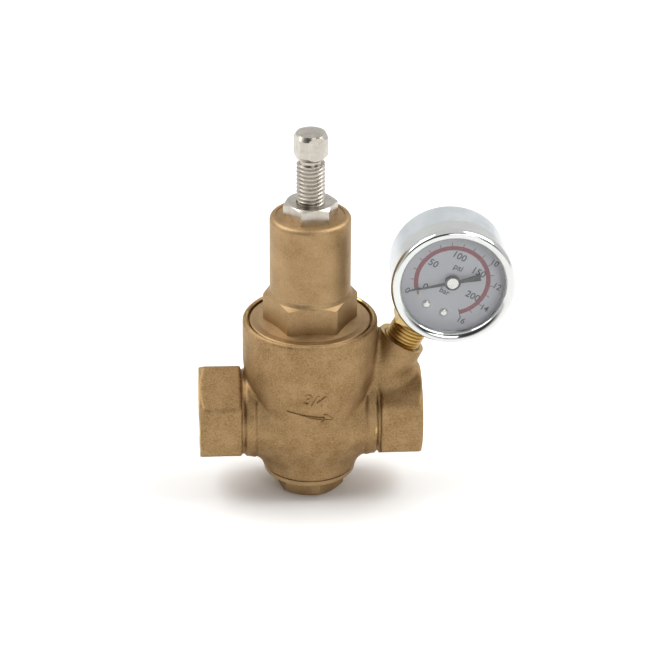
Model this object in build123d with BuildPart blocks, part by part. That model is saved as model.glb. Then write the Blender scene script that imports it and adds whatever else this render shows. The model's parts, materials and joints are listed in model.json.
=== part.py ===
"""Brass direct-acting pressure reducing valve with a slanted outlet pressure gauge.

Frame: +Z up along the valve spindle, X along the flow from the inlet (-X) to the
outlet (+X), -Y towards the gauge's face. The origin is the centre of the flat
bottom of the plug, on which the valve stands. All sizes are millimetres.
"""

from build123d import *
import math
import os

os.makedirs("parts", exist_ok=True)

# ---------------------------------------------------------------- driving sizes
# Clearances
running_gap = 0.05          # radial, a part that turns or slides in its bore
thread_gap = 0.05           # radial, a fixed thread drawn as a plain cylinder
stop_gap = 0.3              # between two parts that meet only at a stop
fit_gap = 0.1               # loose seated fit
press_relief = 0.02         # a pressed-in piece drawn just clear of its hole
cut_over = 0.1              # how far a groove's cutter stands out of the shank
small_break = 0.5           # broken edges on turned pieces
fine_break = 0.3            # broken corners on hexagons' faces
hex_chamfer_degrees = 30.0

# Bottom plug
plug_hex_af = 22.0
plug_hex_height = 6.4
plug_hex_turn = -75.0
plug_hex_bevel = 1.2
plug_neck_depth = 0.6
plug_flange_bevel = (1.4, 1.0)
plug_flange_radius = 16.5
plug_flange_thickness = 2.5
plug_thread_radius = 13.2
plug_thread_length = 6.5
plug_cup_radius = 9.6
plug_floor_thickness = 2.2
plug_guide_radius = 5.2
plug_guide_depth = 5.0
plug_gasket_thickness = 0.8
plug_gasket_width = 1.6
plug_gasket_rim = 0.3           # flange left outside the gasket's groove

# Body casting
body_below_axis = 20.9
body_above_axis = 38.0
body_lower_radius = 16.55
body_upper_radius = 24.1
taper_bottom_below_axis = 16.0
taper_top_above_axis = 20.0
taper_blend = 12.0
rim_round = 1.0
rim_bevel = 0.5                 # inside edge of the rim
rim_recess_radius = 22.4
rim_recess_depth = 3.5
bonnet_thread_radius = 20.5
bonnet_thread_depth = 7.0
piston_bore_radius = 18.0
piston_bore_shoulder = 14.0     # above the port axis
upper_chamber_radius = 13.0
seat_wall_top = 2.5             # above the port axis
seat_wall_bottom = -3.5
seat_hole_radius = 9.5

# Ports: G 3/4 female in a hexagon at each end
body_length = 80.0
port_hex_af = 32.5
port_hex_length = 15.0
port_hex_turn = 30.0            # corners at the top and the bottom
port_face_radius = 16.2
port_chamfer_length = 1.7
port_groove_length = 1.4
port_groove_radius = 15.3
port_collar_length = 3.8
port_collar_radius = 16.2
port_neck_radius = 15.5
port_thread_radius = 12.06
port_thread_depth = 14.5
port_mouth_radius = 13.6
port_mouth_depth = 1.5
passage_radius = 5.5
passage_start = 26.0
passage_end = 8.0
inlet_drop_start = 1.5
inlet_drop_end = 11.0

# Gauge boss, leaning towards the outlet
boss_lean = 29.0
boss_foot_x = 17.5
boss_length = 32.5
boss_mouth_radius = 8.6
boss_draft = 2.0
boss_thread_radius = 6.6
boss_thread_depth = 12.0
boss_mouth_chamfer = 0.8
boss_mouth_bevel = 45.0
boss_passage_radius = 1.6

# Bonnet
bonnet_flange_radius = 21.7
bonnet_flange_round = 0.8
bonnet_flange_sink = 0.6        # flange top below the body rim
bonnet_cone_radius = 18.6       # foot of the cone that rises to the hexagon
bonnet_cone_rise = 1.1
bonnet_hex_af = 29.6
bonnet_hex_height = 10.9
bonnet_hex_turned_radius = 16.8
bonnet_hex_shoulder = 1.1       # height of the chamfer on the hexagon's corners
bonnet_tower_foot = (0.6, 1.2)  # width and height of the slope up to the tower
bonnet_height_above_axis = 78.3
bonnet_tower_radius = 14.4
bonnet_tower_round = 1.8
spring_chamber_radius = 12.0
bonnet_roof_thickness = 7.2
bonnet_spot_radius = 12.2
bonnet_spot_depth = 0.3

# Adjusting screw M10 x 1.5 and its lock nut
screw_radius = 5.0
screw_pitch = 1.5
screw_thread_depth = 0.92
thread_crest_flat = 0.2
thread_root_flat = 0.22
screw_head_top_above_axis = 110.5
screw_head_height = 10.5
screw_head_af = 10.6
screw_head_round_radius = 6.1
screw_head_turn = 18.0
screw_head_bevel = 1.8
screw_head_shoulder = 2.35      # the top chamfer's lower edge, below the top
screw_crown_radius = 5.1
screw_crown_height = 0.8
screw_neck_radius = 3.95
screw_neck_length = 1.6
screw_tip_radius = 3.2
screw_tip_length = 2.5
screw_tip_bevel = 0.8
nut_af = 17.0
nut_height = 5.5
nut_turn = 8.0

# Spring set
seat_plate_radius = spring_chamber_radius - 0.5
seat_plate_thickness = 2.6
seat_plate_top_above_axis = 63.0
seat_plate_pilot_radius = 7.0
seat_plate_pilot_height = 3.0
seat_plate_bevel = 0.8
spring_wire = 2.8
spring_outer_radius = spring_chamber_radius - 1.2
spring_turns = 6.5
spring_end_turn = 0.125         # drawn past each end and then ground off

# Piston group
piston_height = 8.5
piston_pocket_depth = 2.0
piston_pocket_radius = spring_outer_radius + 0.5
piston_ring_section = 2.65
piston_ring_height = 3.4        # ring's middle above the piston's bottom
piston_bevel = 0.6
ring_squeeze = 0.12
valve_travel = 2.3
spindle_shoulder_radius = 4.5
spindle_radius = 3.0
spindle_stand = 1.2             # thread shown above the nut
spindle_end_room = 1.5          # under the spindle in its guide
stem_nut_af = 10.0
stem_nut_height = 4.0
stem_washer_radius = 6.0
stem_washer_thickness = 1.0

# Seat and disc
seat_ring_bore = 7.5
seat_ring_flange_radius = 11.2
seat_ring_flange_thickness = 2.0
seat_lip_height = 1.0
seat_lip_radius = 8.6
disc_radius = 9.2
disc_thickness = 2.8
disc_stand = 0.4                # rubber above the holder's rim
holder_radius = 10.0
holder_height = 4.2
closed_gap = 0.1                # disc to seat lip at the end of the travel

# Gauge, nominal 40 mm, with its stem at the back of the case
gauge_reach = 32.95             # boss mouth to the centre of the dial
case_radius = 20.95
case_wall = 1.0
case_back = -6.8                # local z: positive towards the face
case_front = 14.4
case_back_round = 2.8
bezel_radius = 22.0
bezel_inner_radius = 18.2
bezel_front = 18.5
bezel_skirt_wall = 0.5
bezel_ring_y = 16.0             # where the rolled ring is widest
bezel_ring_foot = 0.8
bezel_skirt_back = 8.5
bezel_lip_back = 15.8
bezel_lip_edge = 0.4            # thickness left at the lip's inner edge
bezel_crown_in = 1.3            # crown of the rolled ring, in from its outside
lens_thickness = 1.1
lens_radius = case_radius - fit_gap
dial_front = 12.0
dial_thickness = 0.5
dial_radius = case_radius - case_wall - small_break
dial_rim_height = 1.6
dial_rim_edge = 0.4
dial_flat_radius = dial_radius - 1.0
dial_hole_radius = 1.6
dial_screw_ring = 12.5
dial_screw_spread = 16.4        # degrees each side of the stem
dial_screw_head_radius = 1.6
dial_screw_head_height = 1.1
dial_screw_head_round = 1.0
dial_screw_length = 4.0
dial_screw_shank_radius = 0.9
stop_pin_ring = 12.7
stop_pin_angle = 228.0
stop_pin_radius = 0.35
pointer_rest_angle = 219.5
pointer_length = 16.2
pointer_tail = 10.0
pointer_hub_radius = 2.8
pointer_plate = 0.4
pointer_stand = 1.5             # plate above the dial
pointer_hub_stand = 0.2         # hub past the plate on either side
pointer_half_widths = (0.12, 0.62, 0.7, 1.2)   # tip, centre, waist and tail
pointer_waist = 4.0
pointer_cap_radius = 2.0
pointer_cap_rim = 0.25
lens_gap = 0.25                 # cap to lens

# Gauge stem
stem_thread_radius = 6.55
stem_thread_engagement = 11.0
stem_visible_thread = 6.5
stem_pitch = 1.337
stem_thread_depth = 0.8
stem_thread_lead = 0.7          # the groove starts this far above the shank
stem_flats_width = 14.0
stem_flats_depth = 10.4
stem_flats_top = 16.0           # below the dial centre, as the next two
stem_block_width = 12.0
stem_block_top = 8.6
stem_end_chamfer = 0.9
stem_bore_radius = 1.2
cross_hole_radius = 0.7
restrictor_radius = 1.9
restrictor_length = 3.0
restrictor_hole = 0.3
restrictor_sink = 0.8

# Gauge movement
tube_radius = 14.6
tube_thickness = 1.8
tube_width = 4.4
tube_wall = 0.25
tube_start_angle = 288.0
tube_end_angle = 560.0
tube_slot_arc = 30.0            # long enough to run out of the block
tip_block_angle = 7.0
tip_block_extra = 0.8           # wider than the tube
tip_pin_radius = 0.5
arbor_radius = 0.6
gear_module = 0.3
pinion_teeth = 10
sector_teeth = 60               # in a full circle
sector_cut_teeth = 11
sector_lead = 1.5               # teeth past the pinion at rest
sector_edge = 0.6               # of a tooth step, from an end tooth to the fan's side
gear_backlash = 0.12
gear_dedendum = 1.25            # in modules, as the addendum
gear_addendum = 0.75
tooth_root_share = 1.25         # widths at root and tip, as shares of the pitch width
tooth_tip_share = 0.5
pinion_overhang = 0.7           # pinion past the sector on either side
sector_thickness = 1.0
sector_lift = 1.4               # above the bottom plate
sector_hub_radius = 1.6
tail_eye_radius = 1.2
tail_half_width = 1.0
link_gap = 0.2
link_eye_radius = 1.1
link_half_width = 0.9
link_slot_radius = 1.1
link_slot_wall = 0.6
plate_back = 3.6
plate_thickness = 0.8
plate_spacing = 5.0
plate_half_width = 5.4
plate_head_height = 5.8
plate_nose_reach = 2.2          # past the sector's pivot
plate_nose_half_width = 2.4
plate_shoulder_reach = 2.0
plate_shoulder_half_width = 4.6
plate_foot_start = 7.0
plate_foot_gap = 0.4
plate_round = 1.0
pillar_radius = 1.3
pillar_x = 3.2
pillar_y = 3.9
hairspring_height = 0.5
hairspring_strip = 0.14
hairspring_turns = 4
hairspring_inner = 1.0
hairspring_pitch = 0.55
hairspring_lift = 1.2           # in front of the sector
spiral_steps_a_turn = 8
post_radius = 1.5
movement_screw_head = 1.3
movement_screw_shank = 0.8
movement_screw_depth = 2.0
movement_screw_head_height = 0.7
movement_screw_drops = (10.2, 14.4)     # below the dial's centre
case_screw_apart = 7.0
case_screw_drop = 14.5          # below the dial's centre
case_screw_head = 1.9
case_screw_head_height = 1.0
case_screw_head_round = 0.6
case_screw_shank = 1.1
case_screw_length = 5.0
case_screw_slot = (2.6, 0.5)
case_screw_slot_depth = 0.5
tail_length = 4.0
tail_angle = 150.0
link_thickness = 0.5
sweep_degrees = 267.0           # pointer travel, from rest to past the last mark

# ---------------------------------------------------------------- derived places
body_bottom_z = plug_hex_height + plug_flange_thickness
axis_z = body_bottom_z + body_below_axis
rim_z = axis_z + body_above_axis
flange_seat_z = rim_z - rim_recess_depth
bonnet_thread_floor_z = flange_seat_z - bonnet_thread_depth
half_length = body_length / 2
hex_inner_x = half_length - port_hex_length

# Heights of the valve's moving pieces, in the open rest position.
piston_bottom_z = axis_z + piston_bore_shoulder + stop_gap
piston_top_z = piston_bottom_z + piston_height
pocket_z = piston_top_z - piston_pocket_depth
lip_z = axis_z + seat_wall_bottom - seat_lip_height
disc_top_z = lip_z - closed_gap - valve_travel
disc_bottom_z = disc_top_z - disc_thickness
holder_top_z = disc_top_z - disc_stand
holder_bottom_z = holder_top_z - holder_height

lean = math.radians(boss_lean)
lean_dir = Vector(math.sin(lean), 0, math.cos(lean))
boss_foot = Vector(boss_foot_x, 0, axis_z)
boss_mouth = boss_foot + lean_dir * boss_length
gauge_centre = boss_mouth + lean_dir * gauge_reach

# A plane with z along the boss, and the dial's own plane, whose y runs up the stem.
boss_plane = Plane(origin=boss_foot, x_dir=(0, -1, 0), z_dir=lean_dir)
mouth_plane = Plane(origin=boss_mouth, x_dir=(0, -1, 0), z_dir=lean_dir)
dial_plane = Plane(
    origin=gauge_centre,
    x_dir=(math.cos(lean), 0, -math.sin(lean)),
    z_dir=(0, -1, 0),
)
# The half plane through the dial's centre in which gauge profiles are drawn:
# its x is the radius and its y runs out through the glass.
gauge_section = Plane(
    origin=gauge_centre,
    x_dir=(math.cos(lean), 0, -math.sin(lean)),
    z_dir=(-math.sin(lean), 0, -math.cos(lean)),
)
gauge_axis = Axis(gauge_centre, (0, -1, 0))
port_axis = Axis((0, 0, axis_z), (1, 0, 0))


def hex_corner_radius(across_flats):
    """Radius through the corners of a hexagon."""
    return across_flats / math.sqrt(3)


def polar(radius, degrees):
    """A point on a circle, in a plane's own x and y."""
    angle = math.radians(degrees)
    return (radius * math.cos(angle), radius * math.sin(angle))


def dial_point(x, y, z=0):
    """A point given in the dial's own x, y and z."""
    return dial_plane.from_local_coords(Vector(x, y, z))


def dial_direction(degrees):
    """A direction across the dial, counted from the dial's own x."""
    return dial_point(*polar(1, degrees)) - gauge_centre


def dome_point(radius, base, height):
    """A point half way out on a ball-shaped dome, as radius and height."""
    ball = (radius**2 + height**2) / (2 * height)
    return (radius / 2, base + height - ball + math.sqrt(ball**2 - radius**2 / 4))


def thread_groove(base, major, depth, pitch, run):
    """Sweep a V groove round a shank, from a base plane whose z runs along the shank."""
    root = major - depth
    with BuildLine(base) as turns:
        Helix(pitch=pitch, height=run, radius=root)
    corner = base.from_local_coords(Vector(root, 0, 0))
    half_mouth = pitch / 2 - thread_crest_flat / 2
    with BuildSketch(Plane(origin=corner, x_dir=base.x_dir, z_dir=-base.y_dir)) as groove:
        with BuildLine():
            Polyline(
                (0, -thread_root_flat / 2),
                (0, thread_root_flat / 2),
                (depth + cut_over, half_mouth + cut_over / 2),
                (depth + cut_over, -half_mouth - cut_over / 2),
                close=True,
            )
        make_face()
    sweep(sections=groove.sketch, path=turns.line, is_frenet=True, mode=Mode.SUBTRACT)


def round_corner(sketch, corner, radius):
    """Round one corner of a sketch, given in the sketch's own x and y."""
    fillet(sketch.vertices().sort_by_distance((*corner, 0))[0], radius)


def save(piece, name):
    """Label a finished piece and write its STEP file."""
    piece.part.label = name
    export_step(piece.part, f"parts/{name}.step")


# ---------------------------------------------------------------- valve body
hex_corner = hex_corner_radius(port_hex_af)

with BuildPart() as port_hexes:
    for start_x in (-half_length, hex_inner_x):
        with BuildSketch(Plane.YZ.offset(start_x)):
            with Locations((0, axis_z)):
                RegularPolygon(hex_corner, 6, rotation=port_hex_turn)
        extrude(amount=port_hex_length)
    with BuildSketch(Plane.XZ):
        with BuildLine():
            Polyline(
                (-half_length, axis_z),
                (-half_length, axis_z + port_face_radius),
                (-half_length + port_chamfer_length, axis_z + hex_corner),
                (half_length - port_chamfer_length, axis_z + hex_corner),
                (half_length, axis_z + port_face_radius),
                (half_length, axis_z),
                close=True,
            )
        make_face()
    revolve(axis=port_axis, mode=Mode.INTERSECT)

with BuildPart() as valve_body:
    # Trunk: a wide cup above, tapering to the plug socket below.
    with BuildSketch(Plane.XZ) as trunk:
        with BuildLine():
            Polyline(
                (0, body_bottom_z),
                (body_lower_radius, body_bottom_z),
                (body_lower_radius, axis_z - taper_bottom_below_axis),
                (body_upper_radius, axis_z + taper_top_above_axis),
                (body_upper_radius, rim_z),
                (0, rim_z),
                close=True,
            )
        make_face()
        taper_foot = (body_lower_radius, axis_z - taper_bottom_below_axis)
        taper_head = (body_upper_radius, axis_z + taper_top_above_axis)
        round_corner(trunk, taper_foot, taper_blend)
        round_corner(trunk, taper_head, taper_blend)
        round_corner(trunk, (body_upper_radius, rim_z), rim_round)
    revolve(axis=Axis.Z)
    # Port arms: neck, collar and groove on each side, then the hexagons.
    with BuildSketch(Plane.XZ):
        with BuildLine():
            collar_outer = hex_inner_x - port_groove_length
            collar_inner = collar_outer - port_collar_length
            Polyline(
                (-hex_inner_x, axis_z),
                (-hex_inner_x, axis_z + port_groove_radius),
                (-collar_outer, axis_z + port_groove_radius),
                (-collar_outer, axis_z + port_collar_radius),
                (-collar_inner, axis_z + port_collar_radius),
                (-collar_inner, axis_z + port_neck_radius),
                (collar_inner, axis_z + port_neck_radius),
                (collar_inner, axis_z + port_collar_radius),
                (collar_outer, axis_z + port_collar_radius),
                (collar_outer, axis_z + port_groove_radius),
                (hex_inner_x, axis_z + port_groove_radius),
                (hex_inner_x, axis_z),
                close=True,
            )
        make_face()
    revolve(axis=port_axis)
    add(port_hexes.part)
    # Gauge boss, drawn from its mouth down so that the draft widens its foot.
    with BuildSketch(mouth_plane):
        Circle(boss_mouth_radius)
    extrude(amount=-boss_length, taper=-boss_draft)
    # Bores along the spindle, from the rim down to the seat wall.
    with BuildSketch(Plane.XZ):
        with BuildLine():
            Polyline(
                (0, rim_z + 1),
                (rim_recess_radius + rim_bevel, rim_z + 1),
                (rim_recess_radius + rim_bevel, rim_z),
                (rim_recess_radius, rim_z - rim_bevel),
                (rim_recess_radius, flange_seat_z),
                (bonnet_thread_radius, flange_seat_z),
                (bonnet_thread_radius, bonnet_thread_floor_z),
                (piston_bore_radius, bonnet_thread_floor_z),
                (piston_bore_radius, axis_z + piston_bore_shoulder),
                (upper_chamber_radius, axis_z + piston_bore_shoulder),
                (upper_chamber_radius, axis_z + seat_wall_top),
                (seat_hole_radius, axis_z + seat_wall_top),
                (seat_hole_radius, axis_z + seat_wall_bottom),
                (plug_thread_radius, axis_z + seat_wall_bottom),
                (plug_thread_radius, body_bottom_z - 1),
                (0, body_bottom_z - 1),
                close=True,
            )
        make_face()
    revolve(axis=Axis.Z, mode=Mode.SUBTRACT)
    # Port bores with their mouths, cut in from both ends.
    for side in (-1, 1):
        with BuildSketch(Plane.XZ):
            with BuildLine():
                Polyline(
                    (side * (half_length + 1), axis_z),
                    (side * (half_length + 1), axis_z + port_mouth_radius),
                    (side * half_length, axis_z + port_mouth_radius),
                    (side * (half_length - port_mouth_depth), axis_z + port_thread_radius),
                    (side * (half_length - port_thread_depth), axis_z + port_thread_radius),
                    (side * (half_length - port_thread_depth), axis_z),
                    close=True,
                )
            make_face()
        revolve(axis=port_axis, mode=Mode.SUBTRACT)
    # Slanted passages: the inlet runs down below the seat, the outlet up above it.
    passage_run = passage_start - passage_end
    passage_fall = inlet_drop_end - inlet_drop_start
    passage_length = math.hypot(passage_run, passage_fall)
    for side in (-1, 1):
        start = Vector(side * passage_start, 0, axis_z + side * inlet_drop_start)
        direction = Vector(-side * passage_run, 0, side * passage_fall)
        with BuildSketch(Plane(origin=start, z_dir=direction)):
            Circle(passage_radius)
        extrude(amount=passage_length, mode=Mode.SUBTRACT)
    # Gauge port: threaded bore, mouth chamfer and the fine hole to the outlet.
    with BuildSketch(mouth_plane):
        Circle(boss_thread_radius)
    extrude(amount=-boss_thread_depth, mode=Mode.SUBTRACT)
    with BuildSketch(mouth_plane):
        Circle(boss_thread_radius + boss_mouth_chamfer)
    extrude(amount=-boss_mouth_chamfer, taper=boss_mouth_bevel, mode=Mode.SUBTRACT)
    with BuildSketch(boss_plane.offset(passage_radius - 1)):
        Circle(boss_passage_radius)
    extrude(amount=boss_length - boss_thread_depth - passage_radius + 2, mode=Mode.SUBTRACT)
save(valve_body, "valve_body")

# ---------------------------------------------------------------- bottom plug
plug_top_z = body_bottom_z + plug_thread_length
plug_floor_z = body_bottom_z + plug_floor_thickness
guide_top_z = holder_bottom_z - stem_nut_height - stop_gap
guide_bore = spindle_radius + running_gap
guide_bottom_z = plug_floor_z - plug_guide_depth

with BuildPart() as plug_hexagon:
    with BuildSketch(Plane.XY):
        RegularPolygon(hex_corner_radius(plug_hex_af), 6, rotation=plug_hex_turn)
    extrude(amount=plug_hex_height)
    with BuildSketch(Plane.XZ):
        with BuildLine():
            Polyline(
                (0, 0),
                (plug_hex_af / 2 - fine_break, 0),
                (hex_corner_radius(plug_hex_af), plug_hex_bevel),
                (hex_corner_radius(plug_hex_af), plug_hex_height),
                (0, plug_hex_height),
                close=True,
            )
        make_face()
    revolve(axis=Axis.Z, mode=Mode.INTERSECT)

gasket_inner = plug_flange_radius - plug_gasket_width - plug_gasket_rim
with BuildPart() as bottom_plug:
    with BuildSketch(Plane.XZ):
        with BuildLine():
            Polyline(
                (0, plug_hex_height - small_break),
                (plug_hex_af / 2 - plug_neck_depth, plug_hex_height - small_break),
                (plug_hex_af / 2 - plug_neck_depth, plug_hex_height),
                (plug_flange_radius - plug_flange_bevel[0], plug_hex_height),
                (plug_flange_radius, plug_hex_height + plug_flange_bevel[1]),
                (plug_flange_radius, body_bottom_z),
                (plug_thread_radius - thread_gap, body_bottom_z),
                (plug_thread_radius - thread_gap, plug_top_z),
                (plug_cup_radius, plug_top_z),
                (plug_cup_radius, plug_floor_z),
                (plug_guide_radius, plug_floor_z),
                (plug_guide_radius, guide_top_z),
                (0, guide_top_z),
                close=True,
            )
        make_face()
    revolve(axis=Axis.Z)
    add(plug_hexagon.part)
    with BuildSketch(Plane.XY.offset(guide_top_z)):
        Circle(guide_bore)
    extrude(amount=guide_bottom_z - guide_top_z, mode=Mode.SUBTRACT)
    # Groove under the flange's rim for the gasket.
    with BuildSketch(Plane.XY.offset(body_bottom_z)):
        Circle(gasket_inner + plug_gasket_width)
        Circle(gasket_inner, mode=Mode.SUBTRACT)
    extrude(amount=-plug_gasket_thickness, mode=Mode.SUBTRACT)
save(bottom_plug, "bottom_plug")

with BuildPart() as plug_gasket:
    with BuildSketch(Plane.XY.offset(body_bottom_z)):
        Circle(gasket_inner + plug_gasket_width - press_relief)
        Circle(gasket_inner + press_relief, mode=Mode.SUBTRACT)
    extrude(amount=-(plug_gasket_thickness - press_relief))
save(plug_gasket, "plug_gasket")

# ---------------------------------------------------------------- bonnet
flange_top_z = rim_z - bonnet_flange_sink
bonnet_hex_top_z = flange_top_z + bonnet_hex_height
bonnet_top_z = axis_z + bonnet_height_above_axis
chamber_roof_z = bonnet_top_z - bonnet_roof_thickness
spot_z = bonnet_top_z - bonnet_spot_depth
skirt_bottom_z = bonnet_thread_floor_z + small_break
bonnet_corner = hex_corner_radius(bonnet_hex_af)
tower_foot_radius = bonnet_tower_radius + bonnet_tower_foot[0]

with BuildPart() as bonnet_hexagon:
    with BuildSketch(Plane.XY.offset(flange_top_z)):
        RegularPolygon(bonnet_corner, 6)
    extrude(amount=bonnet_hex_height)
    with BuildSketch(Plane.XZ):
        with BuildLine():
            Polyline(
                (0, flange_top_z),
                (bonnet_hex_turned_radius, flange_top_z),
                (bonnet_hex_turned_radius, bonnet_hex_top_z - bonnet_hex_shoulder),
                (tower_foot_radius, bonnet_hex_top_z),
                (0, bonnet_hex_top_z),
                close=True,
            )
        make_face()
    revolve(axis=Axis.Z, mode=Mode.INTERSECT)

with BuildPart() as bonnet:
    with BuildSketch(Plane.XZ) as bonnet_profile:
        with BuildLine():
            Polyline(
                (spring_chamber_radius, skirt_bottom_z),
                (bonnet_thread_radius - thread_gap, skirt_bottom_z),
                (bonnet_thread_radius - thread_gap, flange_seat_z),
                (bonnet_flange_radius, flange_seat_z),
                (bonnet_flange_radius, flange_top_z),
                (bonnet_cone_radius, flange_top_z),
                (bonnet_tower_radius, flange_top_z + bonnet_cone_rise),
                (bonnet_tower_radius, bonnet_hex_top_z - bonnet_hex_shoulder),
                (tower_foot_radius, bonnet_hex_top_z),
                (bonnet_tower_radius, bonnet_hex_top_z + bonnet_tower_foot[1]),
                (bonnet_tower_radius, bonnet_top_z),
                (bonnet_spot_radius, bonnet_top_z),
                (bonnet_spot_radius, spot_z),
                (screw_radius + running_gap, spot_z),
                (screw_radius + running_gap, chamber_roof_z),
                (spring_chamber_radius, chamber_roof_z),
                close=True,
            )
        make_face()
        round_corner(bonnet_profile, (bonnet_flange_radius, flange_top_z), bonnet_flange_round)
        round_corner(bonnet_profile, (bonnet_tower_radius, bonnet_top_z), bonnet_tower_round)
    revolve(axis=Axis.Z)
    add(bonnet_hexagon.part)
    with BuildSketch(Plane.XY.offset(skirt_bottom_z)):
        Circle(spring_chamber_radius)
    extrude(amount=chamber_roof_z - skirt_bottom_z, mode=Mode.SUBTRACT)
save(bonnet, "bonnet")

# ---------------------------------------------------------------- adjusting screw
head_top_z = axis_z + screw_head_top_above_axis
head_bottom_z = head_top_z - screw_head_height
neck_bottom_z = head_bottom_z - screw_neck_length
plate_top_z = axis_z + seat_plate_top_above_axis
tip_z = plate_top_z + running_gap
thread_bottom_z = tip_z + screw_tip_length

with BuildPart() as screw_head:
    with BuildSketch(Plane.XY.offset(head_bottom_z)):
        Rectangle(screw_head_af, screw_head_af, rotation=screw_head_turn)
    extrude(amount=screw_head_height)
    with BuildSketch(Plane.XZ):
        with BuildLine():
            crown_base = head_top_z - screw_crown_height
            crown_edge = (screw_crown_radius, crown_base)
            Polyline(
                (0, head_top_z),
                (0, head_bottom_z),
                (screw_head_af / 2 - small_break, head_bottom_z),
                (screw_head_round_radius, head_bottom_z + screw_head_bevel),
                (screw_head_round_radius, head_top_z - screw_head_shoulder),
                crown_edge,
            )
            crown_middle = dome_point(screw_crown_radius, crown_base, screw_crown_height)
            ThreePointArc(crown_edge, crown_middle, (0, head_top_z))
        make_face()
    revolve(axis=Axis.Z, mode=Mode.INTERSECT)

with BuildPart() as adjusting_screw:
    with BuildSketch(Plane.XZ):
        with BuildLine():
            Polyline(
                (0, tip_z),
                (screw_tip_radius - screw_tip_bevel, tip_z),
                (screw_tip_radius, tip_z + screw_tip_bevel),
                (screw_tip_radius, thread_bottom_z - small_break),
                (screw_neck_radius, thread_bottom_z),
                (screw_radius, thread_bottom_z + screw_radius - screw_neck_radius),
                (screw_radius, neck_bottom_z),
                (screw_neck_radius, neck_bottom_z),
                (screw_neck_radius, head_bottom_z),
                (0, head_bottom_z),
                close=True,
            )
        make_face()
    revolve(axis=Axis.Z)
    thread_groove(
        Plane.XY.offset(thread_bottom_z - screw_pitch / 2),
        screw_radius,
        screw_thread_depth,
        screw_pitch,
        neck_bottom_z - thread_bottom_z + screw_pitch,
    )
    add(screw_head.part)
save(adjusting_screw, "adjusting_screw")

# ---------------------------------------------------------------- lock nut
nut_corner = hex_corner_radius(nut_af)
nut_face_radius = nut_af / 2 - fine_break
nut_slope = (nut_corner - nut_face_radius) * math.tan(math.radians(hex_chamfer_degrees))

with BuildPart() as lock_nut:
    with BuildSketch(Plane.XY.offset(spot_z)):
        RegularPolygon(nut_corner, 6, rotation=nut_turn)
    extrude(amount=nut_height)
    with BuildSketch(Plane.XZ):
        with BuildLine():
            Polyline(
                (screw_radius + running_gap, spot_z),
                (nut_corner - fine_break, spot_z),
                (nut_corner, spot_z + fine_break),
                (nut_corner, spot_z + nut_height - nut_slope),
                (nut_face_radius, spot_z + nut_height),
                (screw_radius + running_gap, spot_z + nut_height),
                close=True,
            )
        make_face()
    revolve(axis=Axis.Z, mode=Mode.INTERSECT)
save(lock_nut, "lock_nut")

# ---------------------------------------------------------------- spring set
plate_bottom_z = plate_top_z - seat_plate_thickness
pilot_bottom_z = plate_bottom_z - seat_plate_pilot_height

with BuildPart() as upper_spring_seat:
    with BuildSketch(Plane.XZ):
        with BuildLine():
            Polyline(
                (0, pilot_bottom_z),
                (seat_plate_pilot_radius - seat_plate_bevel, pilot_bottom_z),
                (seat_plate_pilot_radius, pilot_bottom_z + seat_plate_bevel),
                (seat_plate_pilot_radius, plate_bottom_z),
                (seat_plate_radius, plate_bottom_z),
                (seat_plate_radius, plate_top_z),
                (0, plate_top_z),
                close=True,
            )
        make_face()
    revolve(axis=Axis.Z)
save(upper_spring_seat, "upper_spring_seat")

# The coil runs past both ends and is then cut flat there, as ground ends are.
spring_length = plate_bottom_z - pocket_z
spring_mean_radius = spring_outer_radius - spring_wire / 2
spring_pitch = (spring_length - spring_wire / 2) / spring_turns
with BuildPart() as main_spring:
    with BuildLine():
        coil = Helix(
            pitch=spring_pitch,
            height=spring_pitch * (spring_turns + 2 * spring_end_turn),
            radius=spring_mean_radius,
            center=(0, 0, pocket_z + spring_wire / 4 - spring_pitch * spring_end_turn),
        )
    with BuildSketch(Plane(origin=coil @ 0, z_dir=coil % 0)):
        Circle(spring_wire / 2)
    sweep()
    with BuildSketch(Plane.XY.offset(pocket_z)):
        Circle(spring_outer_radius + 2)
    extrude(amount=spring_length, mode=Mode.INTERSECT)
save(main_spring, "main_spring")

# ---------------------------------------------------------------- piston group
ring_groove_z = piston_bottom_z + piston_ring_height
ring_radius = piston_ring_section / 2
piston_radius = piston_bore_radius - running_gap
groove_radius = piston_bore_radius - piston_ring_section + ring_squeeze

with BuildPart() as piston:
    with BuildSketch(Plane.XZ):
        with BuildLine():
            Polyline(
                (spindle_radius + press_relief, piston_bottom_z),
                (piston_radius - piston_bevel, piston_bottom_z),
                (piston_radius, piston_bottom_z + piston_bevel),
                (piston_radius, ring_groove_z - ring_radius - fit_gap),
                (groove_radius, ring_groove_z - ring_radius - fit_gap),
                (groove_radius, ring_groove_z + ring_radius + fit_gap),
                (piston_radius, ring_groove_z + ring_radius + fit_gap),
                (piston_radius, piston_top_z - piston_bevel),
                (piston_radius - piston_bevel, piston_top_z),
                (piston_pocket_radius, piston_top_z),
                (piston_pocket_radius, pocket_z),
                (spindle_radius + press_relief, pocket_z),
                close=True,
            )
        make_face()
    revolve(axis=Axis.Z)
save(piston, "piston")

# Drawn as it sits, squeezed a little flat between the groove and the bore.
ring_inner = groove_radius + press_relief
ring_outer = piston_bore_radius - press_relief
with BuildPart() as piston_o_ring:
    with BuildSketch(Plane.XZ):
        with Locations(((ring_inner + ring_outer) / 2, ring_groove_z)):
            Ellipse((ring_outer - ring_inner) / 2, ring_radius)
    revolve(axis=Axis.Z)
save(piston_o_ring, "piston_o_ring")

stem_nut_bottom_z = pocket_z + stem_washer_thickness
stem_top_z = stem_nut_bottom_z + stem_nut_height + spindle_stand
stem_end_z = guide_bottom_z + spindle_end_room

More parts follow.
